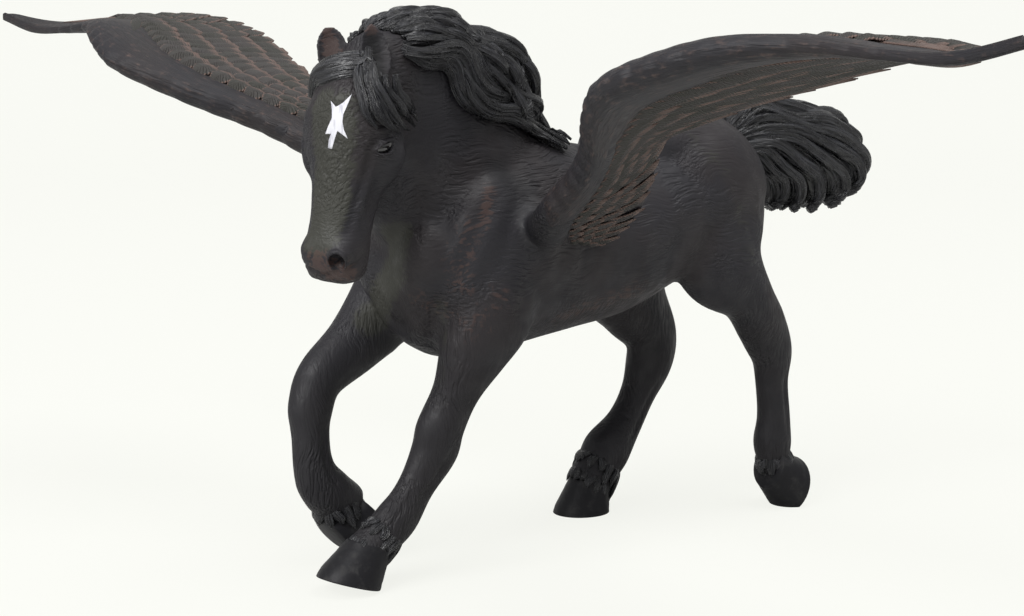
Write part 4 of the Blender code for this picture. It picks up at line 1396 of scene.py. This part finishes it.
wing_bins = {}
for wing in WINGS:
    core, vanes = Bin(), Bin()
    add_wing_sheet(core, wing)
    add_feather_rows(vanes, wing)
    add_tip_feathers(vanes, wing)
    wing_bins[wing[0]] = (core, vanes)
    print(wing[0], "wing core faces:", len(core.faces), "feather faces:", len(vanes.faces))

# %% [markdown]
# ## Helpers for the paint
# Materials are wired in code. A small class adds a node, sets its values and joins its inputs,
# so that each material below reads as a list of steps.

# %% Wiring nodes
class Wiring:
    def __init__(self, tree):
        self.tree = tree
        self.column = 0

    def add(self, kind, inputs=None, **settings):
        node = self.tree.nodes.new(kind)
        node.location = (self.column * 190, -40 * (self.column % 5))
        self.column += 1
        for name, value in settings.items():
            setattr(node, name, value)
        for name, value in (inputs or {}).items():
            self.feed(node.inputs[name], value)
        return node

    def feed(self, socket, value):
        if isinstance(value, bpy.types.NodeSocket):
            self.tree.links.new(value, socket)
        else:
            socket.default_value = value

    def math(self, operation, *values):
        inputs = dict(enumerate(values))
        return self.add("ShaderNodeMath", inputs, operation=operation).outputs[0]

    def place(self):
        """The point of the mesh, in the frame's metres."""
        return self.add("ShaderNodeTexCoord").outputs["Object"]

    def loft(self):
        """How far around its loft a point is, and how far along."""
        return self.add("ShaderNodeUVMap", uv_map="loft").outputs[0]

    def parts(self, vector):
        return self.add("ShaderNodeSeparateXYZ", {0: vector}).outputs

    def vector_math(self, operation, first, second):
        inputs = {0: first, 1: second}
        return self.add("ShaderNodeVectorMath", inputs, operation=operation).outputs[0]

    def ramp(self, value, low, high, out_low=0.0, out_high=1.0):
        """A value mapped smoothly from one range to another."""
        inputs = {"Value": value, "From Min": low, "From Max": high}
        inputs.update({"To Min": out_low, "To Max": out_high})
        return self.add("ShaderNodeMapRange", inputs, interpolation_type="SMOOTHSTEP").outputs[0]

    def mix(self, share, first, second):
        inputs = {0: share, 6: first, 7: second}
        return self.add("ShaderNodeMix", inputs, data_type="RGBA", clamp_factor=True).outputs[2]

    def noise(self, vector, scale, detail=2.0, rough=0.5):
        inputs = {"Vector": vector, "Scale": scale, "Detail": detail, "Roughness": rough}
        return self.add("ShaderNodeTexNoise", inputs).outputs["Fac"]

    def stretched(self, vector, scale, turn=(0.0, 0.0, 0.0)):
        turns = tuple(math.radians(degrees) for degrees in turn)
        inputs = {"Vector": vector, "Scale": scale, "Rotation": turns}
        return self.add("ShaderNodeMapping", inputs).outputs[0]

    def attribute(self, name):
        return self.add("ShaderNodeAttribute", attribute_name=name).outputs["Fac"]

    def group(self, tree, **inputs):
        node = self.add("ShaderNodeGroup", node_tree=tree)
        for name, value in inputs.items():
            self.feed(node.inputs[name.replace("_", " ").capitalize()], value)
        return node.outputs


def new_group(name, inputs, outputs):
    """A node group with these named sockets: {name: (kind, default)} and {name: kind}."""
    tree = bpy.data.node_groups.new(name, "ShaderNodeTree")
    for key, (kind, default) in inputs.items():
        socket = tree.interface.new_socket(key, in_out="INPUT", socket_type="NodeSocket" + kind)
        if default is not None:
            socket.default_value = default
    for key, kind in outputs.items():
        tree.interface.new_socket(key, in_out="OUTPUT", socket_type="NodeSocket" + kind)
    wiring = Wiring(tree)
    entry = wiring.add("NodeGroupInput").outputs
    return tree, wiring, entry


def close_group(tree, wiring, **outputs):
    leave = wiring.add("NodeGroupOutput")
    for name, value in outputs.items():
        wiring.feed(leave.inputs[name.replace("_", " ").capitalize()], value)
    return tree

# %% [markdown]
# ## Effects that several finishes share
# Dry brushing leaves paint only on what stands up, so its mask is a soft patch broken by grain
# and by the height of the carving. Engraved hair is noise drawn out along the way the hair
# lies. Strands and barbs follow a loft's own two numbers, around it and along it.

# %% Dry brush
def make_dry_brush():
    tree, wiring, entry = new_group(
        "dry_brush",
        {
            "Patch": ("Float", 0.5), "Carving": ("Float", 0.5), "Catch": ("Float", 0.8),
            "Grain size": ("Float", 900.0),
        },
        {"Mask": "Float"},
    )
    place = wiring.place()
    grain = wiring.noise(place, entry["Grain size"], 3.0, 0.6)
    height = wiring.math("MULTIPLY_ADD", entry["Carving"], entry["Catch"], grain)
    reach = wiring.math("MULTIPLY_ADD", entry["Patch"], 1.5, wiring.math("SUBTRACT", height, 1.55))
    return close_group(tree, wiring, mask=wiring.ramp(reach, -0.12, 0.32))


DRY_BRUSH = make_dry_brush()

# %% Engraved hair
def make_engraved_hair():
    tree, wiring, entry = new_group(
        "engraved_hair",
        {"Fineness": ("Float", 1500.0), "Down": ("Float", 0.0)},
        {"Height": "Float", "Cover": "Float"},
    )
    place = wiring.place()
    inputs = {"Vector": place, "Scale": 90.0, "Detail": 1.0}
    drift = wiring.add("ShaderNodeTexNoise", inputs).outputs["Color"]
    bent = wiring.vector_math("MULTIPLY", drift, (0.006, 0.006, 0.006))
    bent = wiring.vector_math("ADD", bent, place)
    back = wiring.stretched(bent, (1.0, 0.11, 1.0), (24.0, 0.0, 0.0))
    down = wiring.stretched(bent, (1.0, 1.0, 0.13))
    along_back = wiring.noise(back, entry["Fineness"], 1.5, 0.55)
    along_down = wiring.noise(down, entry["Fineness"], 1.5, 0.55)
    inputs = {0: entry["Down"], 2: along_back, 3: along_down}
    both = wiring.add("ShaderNodeMix", inputs, data_type="FLOAT").outputs[0]
    cover = wiring.ramp(wiring.noise(place, 70.0, 1.0), 0.42, 0.60)
    return close_group(tree, wiring, height=wiring.ramp(both, 0.30, 0.62), cover=cover)


ENGRAVED_HAIR = make_engraved_hair()

# %% Strands of a lock
def make_strands():
    tree, wiring, entry = new_group(
        "strands",
        {"Loft": ("Vector", None), "Lot": ("Float", 0.0), "Count": ("Float", 3.0)},
        {"Height": "Float", "Groove": "Float"},
    )
    parts = wiring.parts(entry["Loft"])
    turn = wiring.math("MULTIPLY", parts["X"], math.tau)
    ring_x = wiring.math("MULTIPLY", wiring.math("COSINE", turn), entry["Count"])
    ring_y = wiring.math("MULTIPLY", wiring.math("SINE", turn), entry["Count"])
    drift = wiring.math("MULTIPLY", parts["Y"], 0.11)
    shift = wiring.math("MULTIPLY_ADD", entry["Lot"], 37.0, drift)
    place = wiring.add("ShaderNodeCombineXYZ", {"X": ring_x, "Y": ring_y, "Z": shift}).outputs[0]
    strand = wiring.noise(place, 1.6, 2.5, 0.55)
    groove = wiring.ramp(strand, 0.46, 0.34)
    return close_group(tree, wiring, height=strand, groove=groove)


STRANDS = make_strands()

# %% Barbs of a feather
def make_barbs():
    tree, wiring, entry = new_group(
        "barbs",
        {"Loft": ("Vector", None), "Pitch": ("Float", 0.6), "Slant": ("Float", 2.4)},
        {"Height": "Float", "Edge": "Float"},
    )
    parts = wiring.parts(entry["Loft"])
    off = wiring.math("ABSOLUTE", wiring.math("SUBTRACT", parts["X"], 0.5))
    place = wiring.place()
    wobble = wiring.math("MULTIPLY", wiring.noise(place, 260.0, 2.0), 2.2)
    reach = wiring.math("ADD", wiring.math("MULTIPLY_ADD", off, entry["Slant"], parts["Y"]), wobble)
    turn = wiring.math("MULTIPLY", wiring.math("DIVIDE", reach, entry["Pitch"]), math.tau)
    rib = wiring.math("MULTIPLY_ADD", wiring.math("SINE", turn), 0.5, 0.5)
    return close_group(tree, wiring, height=rib, edge=wiring.ramp(off, 0.30, 0.5))


BARBS = make_barbs()
print("effects:", [group.name for group in (DRY_BRUSH, ENGRAVED_HAIR, STRANDS, BARBS)])

# %% [markdown]
# ## The finishes
# The plastic is painted, not bare, so every finish is a Principled BSDF with no metal. What
# tells them apart is colour, gloss and carving.

# %% Colours of the paint
CHARCOAL = (0.0150, 0.0142, 0.0175, 1)
CHARCOAL_WARM = (0.0185, 0.0155, 0.0172, 1)
# a paler charcoal for painted light on cheek and neck
CHARCOAL_PAINTED_LIGHT = (0.0270, 0.0258, 0.0300, 1)
# Olive: a tone of some feathers, and on the skin a painted highlight
OLIVE = (0.030, 0.030, 0.0245, 1)
RUST = (0.062, 0.036, 0.030, 1)
# near black for painted shade on the skin and in the hair's grooves
SHADE_BLACK = (0.003, 0.003, 0.0035, 1)
HAIR_BLACK = (0.011, 0.011, 0.013, 1)
# grey painted highlight on the crests of the hair's strands
HAIR_HIGHLIGHT_GREY = (0.032, 0.033, 0.038, 1)
FEATHER_DARK = (0.044, 0.0395, 0.0380, 1)
FEATHER_BROWN = (0.165, 0.108, 0.090, 1)
HOOF_GREY = (0.0115, 0.0113, 0.013, 1)
LEG_SHADE = (0.0088, 0.0082, 0.0102, 1)
HOOF_SCUFF = (0.026, 0.0255, 0.026, 1)
STAR_WHITE = (0.62, 0.62, 0.66, 1)
STAR_GREY = (0.40, 0.40, 0.45, 1)
EYE_BLACK = (0.004, 0.004, 0.005, 1)
EYE_BROWN = (0.010, 0.007, 0.006, 1)
MATT_SHINE, HAIR_SHINE, HOOF_SHINE = 0.32, 0.5, 0.15

# Depths of the carving, in metres
HAIR_DEPTH, DOWN_DEPTH, STRAND_DEPTH = 0.00026, 0.0005, 0.0009
BARB_DEPTH, SCUFF_DEPTH, STREAK_DEPTH = 0.00024, 0.0001, 0.00012


def new_finish(name, roughness, shine=MATT_SHINE):
    """A painted plastic with this name, the wiring of its nodes and its shader."""
    material = bpy.data.materials.new(name)
    material.use_nodes = True
    shader = material.node_tree.nodes["Principled BSDF"]
    shader.location = (3600, 0)
    shader.inputs["Roughness"].default_value = roughness
    shader.inputs["Metallic"].default_value = 0.0
    shader.inputs["Specular IOR Level"].default_value = shine
    return material, Wiring(material.node_tree), shader


def carve(wiring, shader, height, depth, strength=1.0):
    """Feeds a height, in shares of a depth in metres, to the shader's normal."""
    inputs = {"Height": height, "Distance": depth, "Strength": strength}
    bump = wiring.add("ShaderNodeBump", inputs)
    wiring.feed(shader.inputs["Normal"], bump.outputs[0])

# %% Skin paint
def paint_skin():
    material, wiring, shader = new_finish("matt_charcoal", 0.6)
    place = wiring.place()
    height = wiring.parts(place)["Z"]
    down = wiring.ramp(height, 0.056, 0.044)
    hair = wiring.group(ENGRAVED_HAIR, fineness=1500.0, down=down)
    mottle = wiring.ramp(wiring.noise(place, 55.0, 3.0), 0.40, 0.62)
    colour = wiring.mix(mottle, CHARCOAL, CHARCOAL_WARM)
    # an olive painted highlight where the light falls, broken up like dry brushing
    olive_highlight = wiring.group(
        DRY_BRUSH, patch=wiring.attribute("olive_highlight"), carving=hair["Height"], catch=0.25,
        grain_size=200.0,
    )
    colour = wiring.mix(olive_highlight["Mask"], colour, OLIVE)
    rust = wiring.group(
        DRY_BRUSH, patch=wiring.attribute("rust"), carving=hair["Height"], catch=0.75,
        grain_size=700.0,
    )
    colour = wiring.mix(wiring.math("MULTIPLY", rust["Mask"], 0.60), colour, RUST)
    colour = wiring.mix(wiring.ramp(height, 0.050, 0.034, 0.0, 0.75), colour, LEG_SHADE)
    # painted light: cheek and neck made paler
    colour = wiring.mix(wiring.attribute("painted_light"), colour, CHARCOAL_PAINTED_LIGHT)
    # painted shade in the nostrils, the ear hollows, the wing's root and the breast
    shade = wiring.math("MAXIMUM", wiring.attribute("hollow_shade"), wiring.attribute("painted_shade"))
    colour = wiring.mix(shade, colour, SHADE_BLACK)
    wiring.feed(shader.inputs["Base Color"], colour)
    sheen = wiring.ramp(wiring.noise(place, 260.0, 3.0), 0.35, 0.65, 0.50, 0.66)
    wiring.feed(shader.inputs["Roughness"], sheen)
    cover = wiring.math("MULTIPLY_ADD", hair["Cover"], 0.8, 0.2)
    strokes = wiring.math("MULTIPLY", hair["Height"], cover)
    grain = wiring.noise(place, 3200.0, 2.0)
    carve(wiring, shader, wiring.math("MULTIPLY_ADD", grain, 0.12, strokes), HAIR_DEPTH, 0.85)
    return material


SKIN = paint_skin()

# %% Glossy hair paint
def paint_hair():
    material, wiring, shader = new_finish("glossy_hair", 0.34, HAIR_SHINE)
    loft = wiring.loft()
    strands = wiring.group(STRANDS, loft=loft, lot=wiring.attribute("lot"), count=2.6)
    # painted highlight on the strands' crests and painted shade in the grooves between them
    colour = wiring.mix(wiring.ramp(strands["Height"], 0.45, 0.72), HAIR_BLACK, HAIR_HIGHLIGHT_GREY)
    colour = wiring.mix(strands["Groove"], colour, SHADE_BLACK)
    wiring.feed(shader.inputs["Base Color"], colour)
    place = wiring.place()
    gloss = wiring.ramp(wiring.noise(place, 300.0, 3.0), 0.35, 0.65, 0.20, 0.38)
    wiring.feed(shader.inputs["Roughness"], gloss)
    carve(wiring, shader, strands["Height"], STRAND_DEPTH, 0.9)
    return material


HAIR = paint_hair()

# %% Feather paint
def paint_feathers():
    material, wiring, shader = new_finish("brushed_feathers", 0.62)
    lot, share = wiring.attribute("lot"), wiring.attribute("share")
    barbs = wiring.group(BARBS, loft=wiring.loft(), pitch=0.62, slant=2.6)
    colour = wiring.mix(wiring.ramp(lot, 0.0, 1.0, 0.0, 0.8), FEATHER_DARK, OLIVE)
    edge = wiring.math("MULTIPLY", barbs["Edge"], 0.8)
    worn = wiring.math("MAXIMUM", wiring.ramp(share, 0.50, 1.0), edge)
    carving = barbs["Height"]
    brown = wiring.group(DRY_BRUSH, patch=worn, carving=carving, catch=0.5, grain_size=600.0)
    colour = wiring.mix(wiring.math("MULTIPLY", brown["Mask"], 0.8), colour, FEATHER_BROWN)
    wiring.feed(shader.inputs["Base Color"], colour)
    carve(wiring, shader, carving, BARB_DEPTH, 0.9)
    return material


FEATHERS = paint_feathers()

# %% Wing arm paint
def paint_wing_arm():
    material, wiring, shader = new_finish("downy_arm", 0.58)
    place = wiring.place()
    loft = wiring.loft()
    parts = wiring.parts(loft)
    across = wiring.math("MULTIPLY", parts["X"], 90.0)
    drawn = wiring.math("MULTIPLY_ADD", parts["Y"], 0.22, wiring.math("MULTIPLY", parts["X"], 30.0))
    field = wiring.add("ShaderNodeCombineXYZ", {"X": across, "Y": drawn}).outputs[0]
    down = wiring.noise(field, 1.0, 2.0)
    mottle = wiring.ramp(wiring.noise(place, 60.0, 3.0), 0.40, 0.62)
    colour = wiring.mix(mottle, CHARCOAL, CHARCOAL_WARM)
    brown = wiring.group(DRY_BRUSH, patch=0.37, carving=down, catch=0.7, grain_size=700.0)
    colour = wiring.mix(wiring.math("MULTIPLY", brown["Mask"], 0.5), colour, FEATHER_BROWN)
    wiring.feed(shader.inputs["Base Color"], colour)
    carve(wiring, shader, down, DOWN_DEPTH, 0.85)
    return material


WING_ARM = paint_wing_arm()

# %% Hooves, eyes and the star
def paint_hooves():
    material, wiring, shader = new_finish("hoof_grey", 0.5, HOOF_SHINE)
    place = wiring.place()
    scuff = wiring.ramp(wiring.noise(place, 420.0, 4.0, 0.65), 0.50, 0.72)
    colour = wiring.mix(scuff, HOOF_GREY, HOOF_SCUFF)
    wiring.feed(shader.inputs["Base Color"], colour)
    wiring.feed(shader.inputs["Roughness"], wiring.ramp(scuff, 0.0, 1.0, 0.42, 0.6))
    carve(wiring, shader, wiring.noise(place, 900.0, 3.0), SCUFF_DEPTH, 0.6)
    return material


def paint_eyes():
    material, wiring, shader = new_finish("wet_eye", 0.05, HAIR_SHINE)
    place = wiring.place()
    iris = wiring.ramp(wiring.noise(place, 900.0, 2.0), 0.4, 0.7)
    wiring.feed(shader.inputs["Base Color"], wiring.mix(iris, EYE_BLACK, EYE_BROWN))
    shader.inputs["Coat Weight"].default_value = 1.0
    shader.inputs["Coat Roughness"].default_value = 0.03
    return material


def paint_star():
    material, wiring, shader = new_finish("star_white", 0.5)
    place = wiring.place()
    streak = wiring.noise(wiring.stretched(place, (1.0, 1.0, 0.2)), 1400.0, 3.0)
    colour = wiring.mix(wiring.ramp(streak, 0.30, 0.55), STAR_GREY, STAR_WHITE)
    wiring.feed(shader.inputs["Base Color"], colour)
    carve(wiring, shader, streak, STREAK_DEPTH, 0.7)
    return material


HOOF, EYE, STAR = paint_hooves(), paint_eyes(), paint_star()
FINISHES = (SKIN, HAIR, FEATHERS, WING_ARM, HOOF, EYE, STAR)
print("finishes:", [material.name for material in FINISHES])

# %% [markdown]
# ## Eyeballs and the star
# The eyeballs are glossy beads under the lids. The star is a thin coat of white paint: its
# outline comes from the photograph, and every point of it is laid on the finished skin.

# %% Eyeballs
EYEBALL_LONG, EYEBALL_TALL, EYEBALL_DEEP = 2.2, 1.25, 1.3
EYEBALL_SUNK = 0.75


def add_eyeballs(bin):
    for side in (1, -1):
        middle, long_way, short_way, normal = eye_axes(side)
        centre = middle - normal * EYEBALL_SUNK
        rings = []
        for angle in (math.pi * share for share in shares(25)[1:-1]):
            across = long_way * EYEBALL_LONG * math.sin(angle)
            over = short_way * EYEBALL_TALL * math.sin(angle)
            level = centre + normal * EYEBALL_DEEP * math.cos(angle)
            rings.append(oval(level, across, over, None, 32))
        bin.loft(rings)


eye_bin = Bin()
add_eyeballs(eye_bin)

# %% The star's coat of paint
STAR_OUTLINE = (
    (331, 101), (336, 107), (343, 103), (352, 94), (348, 104), (343.5, 114), (342.5, 122),
    (344, 130), (348, 139), (343, 135), (337.5, 131), (335, 138), (332, 149), (328, 148),
    (329, 140), (331, 134), (325.5, 134), (328, 127), (332, 118), (332, 110),
)
STAR_MIDDLE = (337.0, 121.0)
STAR_COAT, STAR_RINGS = 0.07, 9
skin_tree = tree_of(skin_mesh)


def star_mesh():
    """Rings from the star's middle to its outline, laid on the skin and given a thickness."""
    rim = []
    for k, corner in enumerate(STAR_OUTLINE):
        following = STAR_OUTLINE[(k + 1) % len(STAR_OUTLINE)]
        rim += [blend(corner, following, step / 4) for step in range(4)]
    sheet = bmesh.new()
    rings = []
    for share in shares(STAR_RINGS + 1)[1:]:
        places = [blend(STAR_MIDDLE, place, share) for place in rim]
        rings.append([sheet.verts.new((*place, 0)) for place in places])
    for inner, outer in zip(rings, rings[1:]):
        for k in range(len(rim)):
            following = (k + 1) % len(rim)
            sheet.faces.new((inner[k], inner[following], outer[following], outer[k]))
    sheet.faces.new(rings[0])
    for vertex in sheet.verts:
        place, normal, _, _ = skin_tree.ray_cast(EYE_POINT, pixel_ray((vertex.co.x, vertex.co.y)))
        vertex.co = place + normal * STAR_COAT
    bmesh.ops.recalc_face_normals(sheet, faces=sheet.faces)
    bmesh.ops.solidify(sheet, geom=sheet.faces[:], thickness=STAR_COAT * 2)
    data = bpy.data.meshes.new("star")
    sheet.to_mesh(data)
    sheet.free()
    return data


star = star_mesh()
print("star faces:", len(star.polygons))

# %% [markdown]
# ## Putting the figure together
# Every piece rides on the one body. Together they stand for the imported solid, which stays in
# the simulation.

# %% Pieces
def place_piece(name, mesh, material):
    """A finished piece in the frame's metres, smooth-shaded, riding on the body."""
    mesh.transform(TO_FRAME)
    mesh.materials.append(material)
    mesh.polygons.foreach_set("use_smooth", [True] * len(mesh.polygons))
    piece = in_scene(name, mesh)
    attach(piece, "root")
    print(name, len(mesh.polygons), "faces")
    return piece


def thinned(mesh, triangles):
    """The mesh with about this many triangles, fewest where it is flattest."""
    return reworked(mesh, DECIMATE={"ratio": min(1.0, triangles / (2 * len(mesh.polygons)))})


def cut_at_ground(mesh):
    """Cuts away what lies below the ground and closes the cut with a flat face."""
    cut = bmesh.new()
    cut.from_mesh(mesh)
    result = bmesh.ops.bisect_plane(
        cut, geom=cut.verts[:] + cut.edges[:] + cut.faces[:],
        plane_co=(0, 0, 0), plane_no=(0, 0, -1), clear_outer=True,
    )
    edges = [item for item in result["geom_cut"] if isinstance(item, bmesh.types.BMEdge)]
    bmesh.ops.holes_fill(cut, edges=edges)
    cut.to_mesh(mesh)
    cut.free()
    return mesh

# %% Assemble
skin = place_piece("skin", thinned(skin_mesh, SKIN_TRIANGLES), SKIN)
place_piece("hooves", cut_at_ground(hoof_bin.mesh("hooves")), HOOF)
place_piece("mane", mane_bin.mesh("mane"), HAIR)
place_piece("forelock", forelock_bin.mesh("forelock"), HAIR)
place_piece("tail", tail_bin.mesh("tail"), HAIR)
place_piece("fetlock_hair", cut_at_ground(fetlock_bin.mesh("fetlock_hair")), HAIR)
place_piece("eyes", eye_bin.mesh("eyes"), EYE)
place_piece("star", star, STAR)
for side_name, (core, vanes) in wing_bins.items():
    place_piece(side_name + "_wing_arm", core.mesh("wing_arm"), WING_ARM)
    place_piece(side_name + "_feathers", vanes.mesh("feathers"), FEATHERS)
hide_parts("winged_horse")

# %% [markdown]
# ## Floor and light
# The figure stands on plain white paper that curves up far behind it. A white sky fills the
# shade, a broad soft lamp from the camera's left gives the forms their modelling, and a second
# one, high on the right, lights the backs. The camera sees the paper and the sky as white.

# %% Floor
PAPER = (0.55, 0.55, 0.53, 1)
PAPER_GLOW = (0.990, 0.998, 0.945, 1)
PAPER_SEEN_WHITE = 0.85
PAPER_ROWS, PAPER_HALF_WIDTH, PAPER_SCALE = 25, 1.6, 1.6
PAPER_BEND = 0.7


def paper_row(share):
    """How far behind the figure and how high the paper lies at this share of its length."""
    past = max(share - PAPER_BEND, 0)
    reach = 1.6 * share - 0.6 if share < PAPER_BEND else 0.52 + 0.5 * math.sin(past * 3.6)
    return reach * PAPER_SCALE, past**2 * 12


def lay_paper():
    back_way = -BACKWARD.xy.normalized()
    side_way = Vector((back_way.y, -back_way.x))
    points = []
    for reach, height in map(paper_row, shares(PAPER_ROWS)):
        for across in (-PAPER_HALF_WIDTH, PAPER_HALF_WIDTH):
            place = back_way * reach + side_way * across
            points.append((place.x, place.y, height))
    corners = range(0, 2 * PAPER_ROWS - 2, 2)
    faces = [(k, k + 1, k + 3, k + 2) for k in corners]
    data = bpy.data.meshes.new("paper")
    data.from_pydata(points, [], faces)
    data.polygons.foreach_set("use_smooth", [True] * len(faces))
    in_scene("paper", data)
    material = bpy.data.materials.new("white_paper")
    material.use_nodes = True
    wiring = Wiring(material.node_tree)
    shader = material.node_tree.nodes["Principled BSDF"]
    shader.inputs["Base Color"].default_value = PAPER
    shader.inputs["Roughness"].default_value = 0.9
    seen = wiring.add("ShaderNodeLightPath").outputs["Is Camera Ray"]
    glow = wiring.add("ShaderNodeEmission", {"Color": PAPER_GLOW, "Strength": 1.0})
    share = wiring.math("MULTIPLY", seen, PAPER_SEEN_WHITE)
    both = wiring.add("ShaderNodeMixShader", {0: share, 1: shader.outputs[0], 2: glow.outputs[0]})
    surface = material.node_tree.nodes["Material Output"].inputs["Surface"]
    wiring.feed(surface, both.outputs[0])
    data.materials.append(material)


lay_paper()

# %% Light
SKY_LEVEL = 0.50
LAMP_DISTANCE, LAMP_SIZE = 2.0, 1.2
LAMP_AIM = Vector((0, 0, 0.06))


def hang_lamp(name, turn, rise, power):
    """A square area lamp that points at the figure, turned and raised in degrees."""
    data = bpy.data.lights.new(name, "AREA")
    data.size = LAMP_SIZE
    data.energy = power
    turn, rise = math.radians(turn), math.radians(rise)
    level = Vector((math.sin(turn), -math.cos(turn), 0)) * math.cos(rise)
    way = level + Vector((0, 0, math.sin(rise)))
    lamp = in_scene(name, data)
    lamp.location = LAMP_AIM + way * LAMP_DISTANCE
    lamp.rotation_euler = way.to_track_quat("Z", "Y").to_euler()


def light_scene():
    world = bpy.data.worlds.new("white_sky")
    world.use_nodes = True
    sky = world.node_tree.nodes["Background"]
    wiring = Wiring(world.node_tree)
    seen = wiring.add("ShaderNodeLightPath").outputs["Is Camera Ray"]
    wiring.feed(sky.inputs["Color"], wiring.mix(seen, (1, 1, 1, 1), PAPER_GLOW))
    wiring.feed(sky.inputs["Strength"], wiring.math("MULTIPLY_ADD", seen, 1 - SKY_LEVEL, SKY_LEVEL))
    bpy.context.scene.world = world
    hang_lamp("key", 10, 39, 40.0)
    hang_lamp("top", 120, 75, 26.0)


light_scene()
bpy.context.scene.view_settings.view_transform = "Standard"
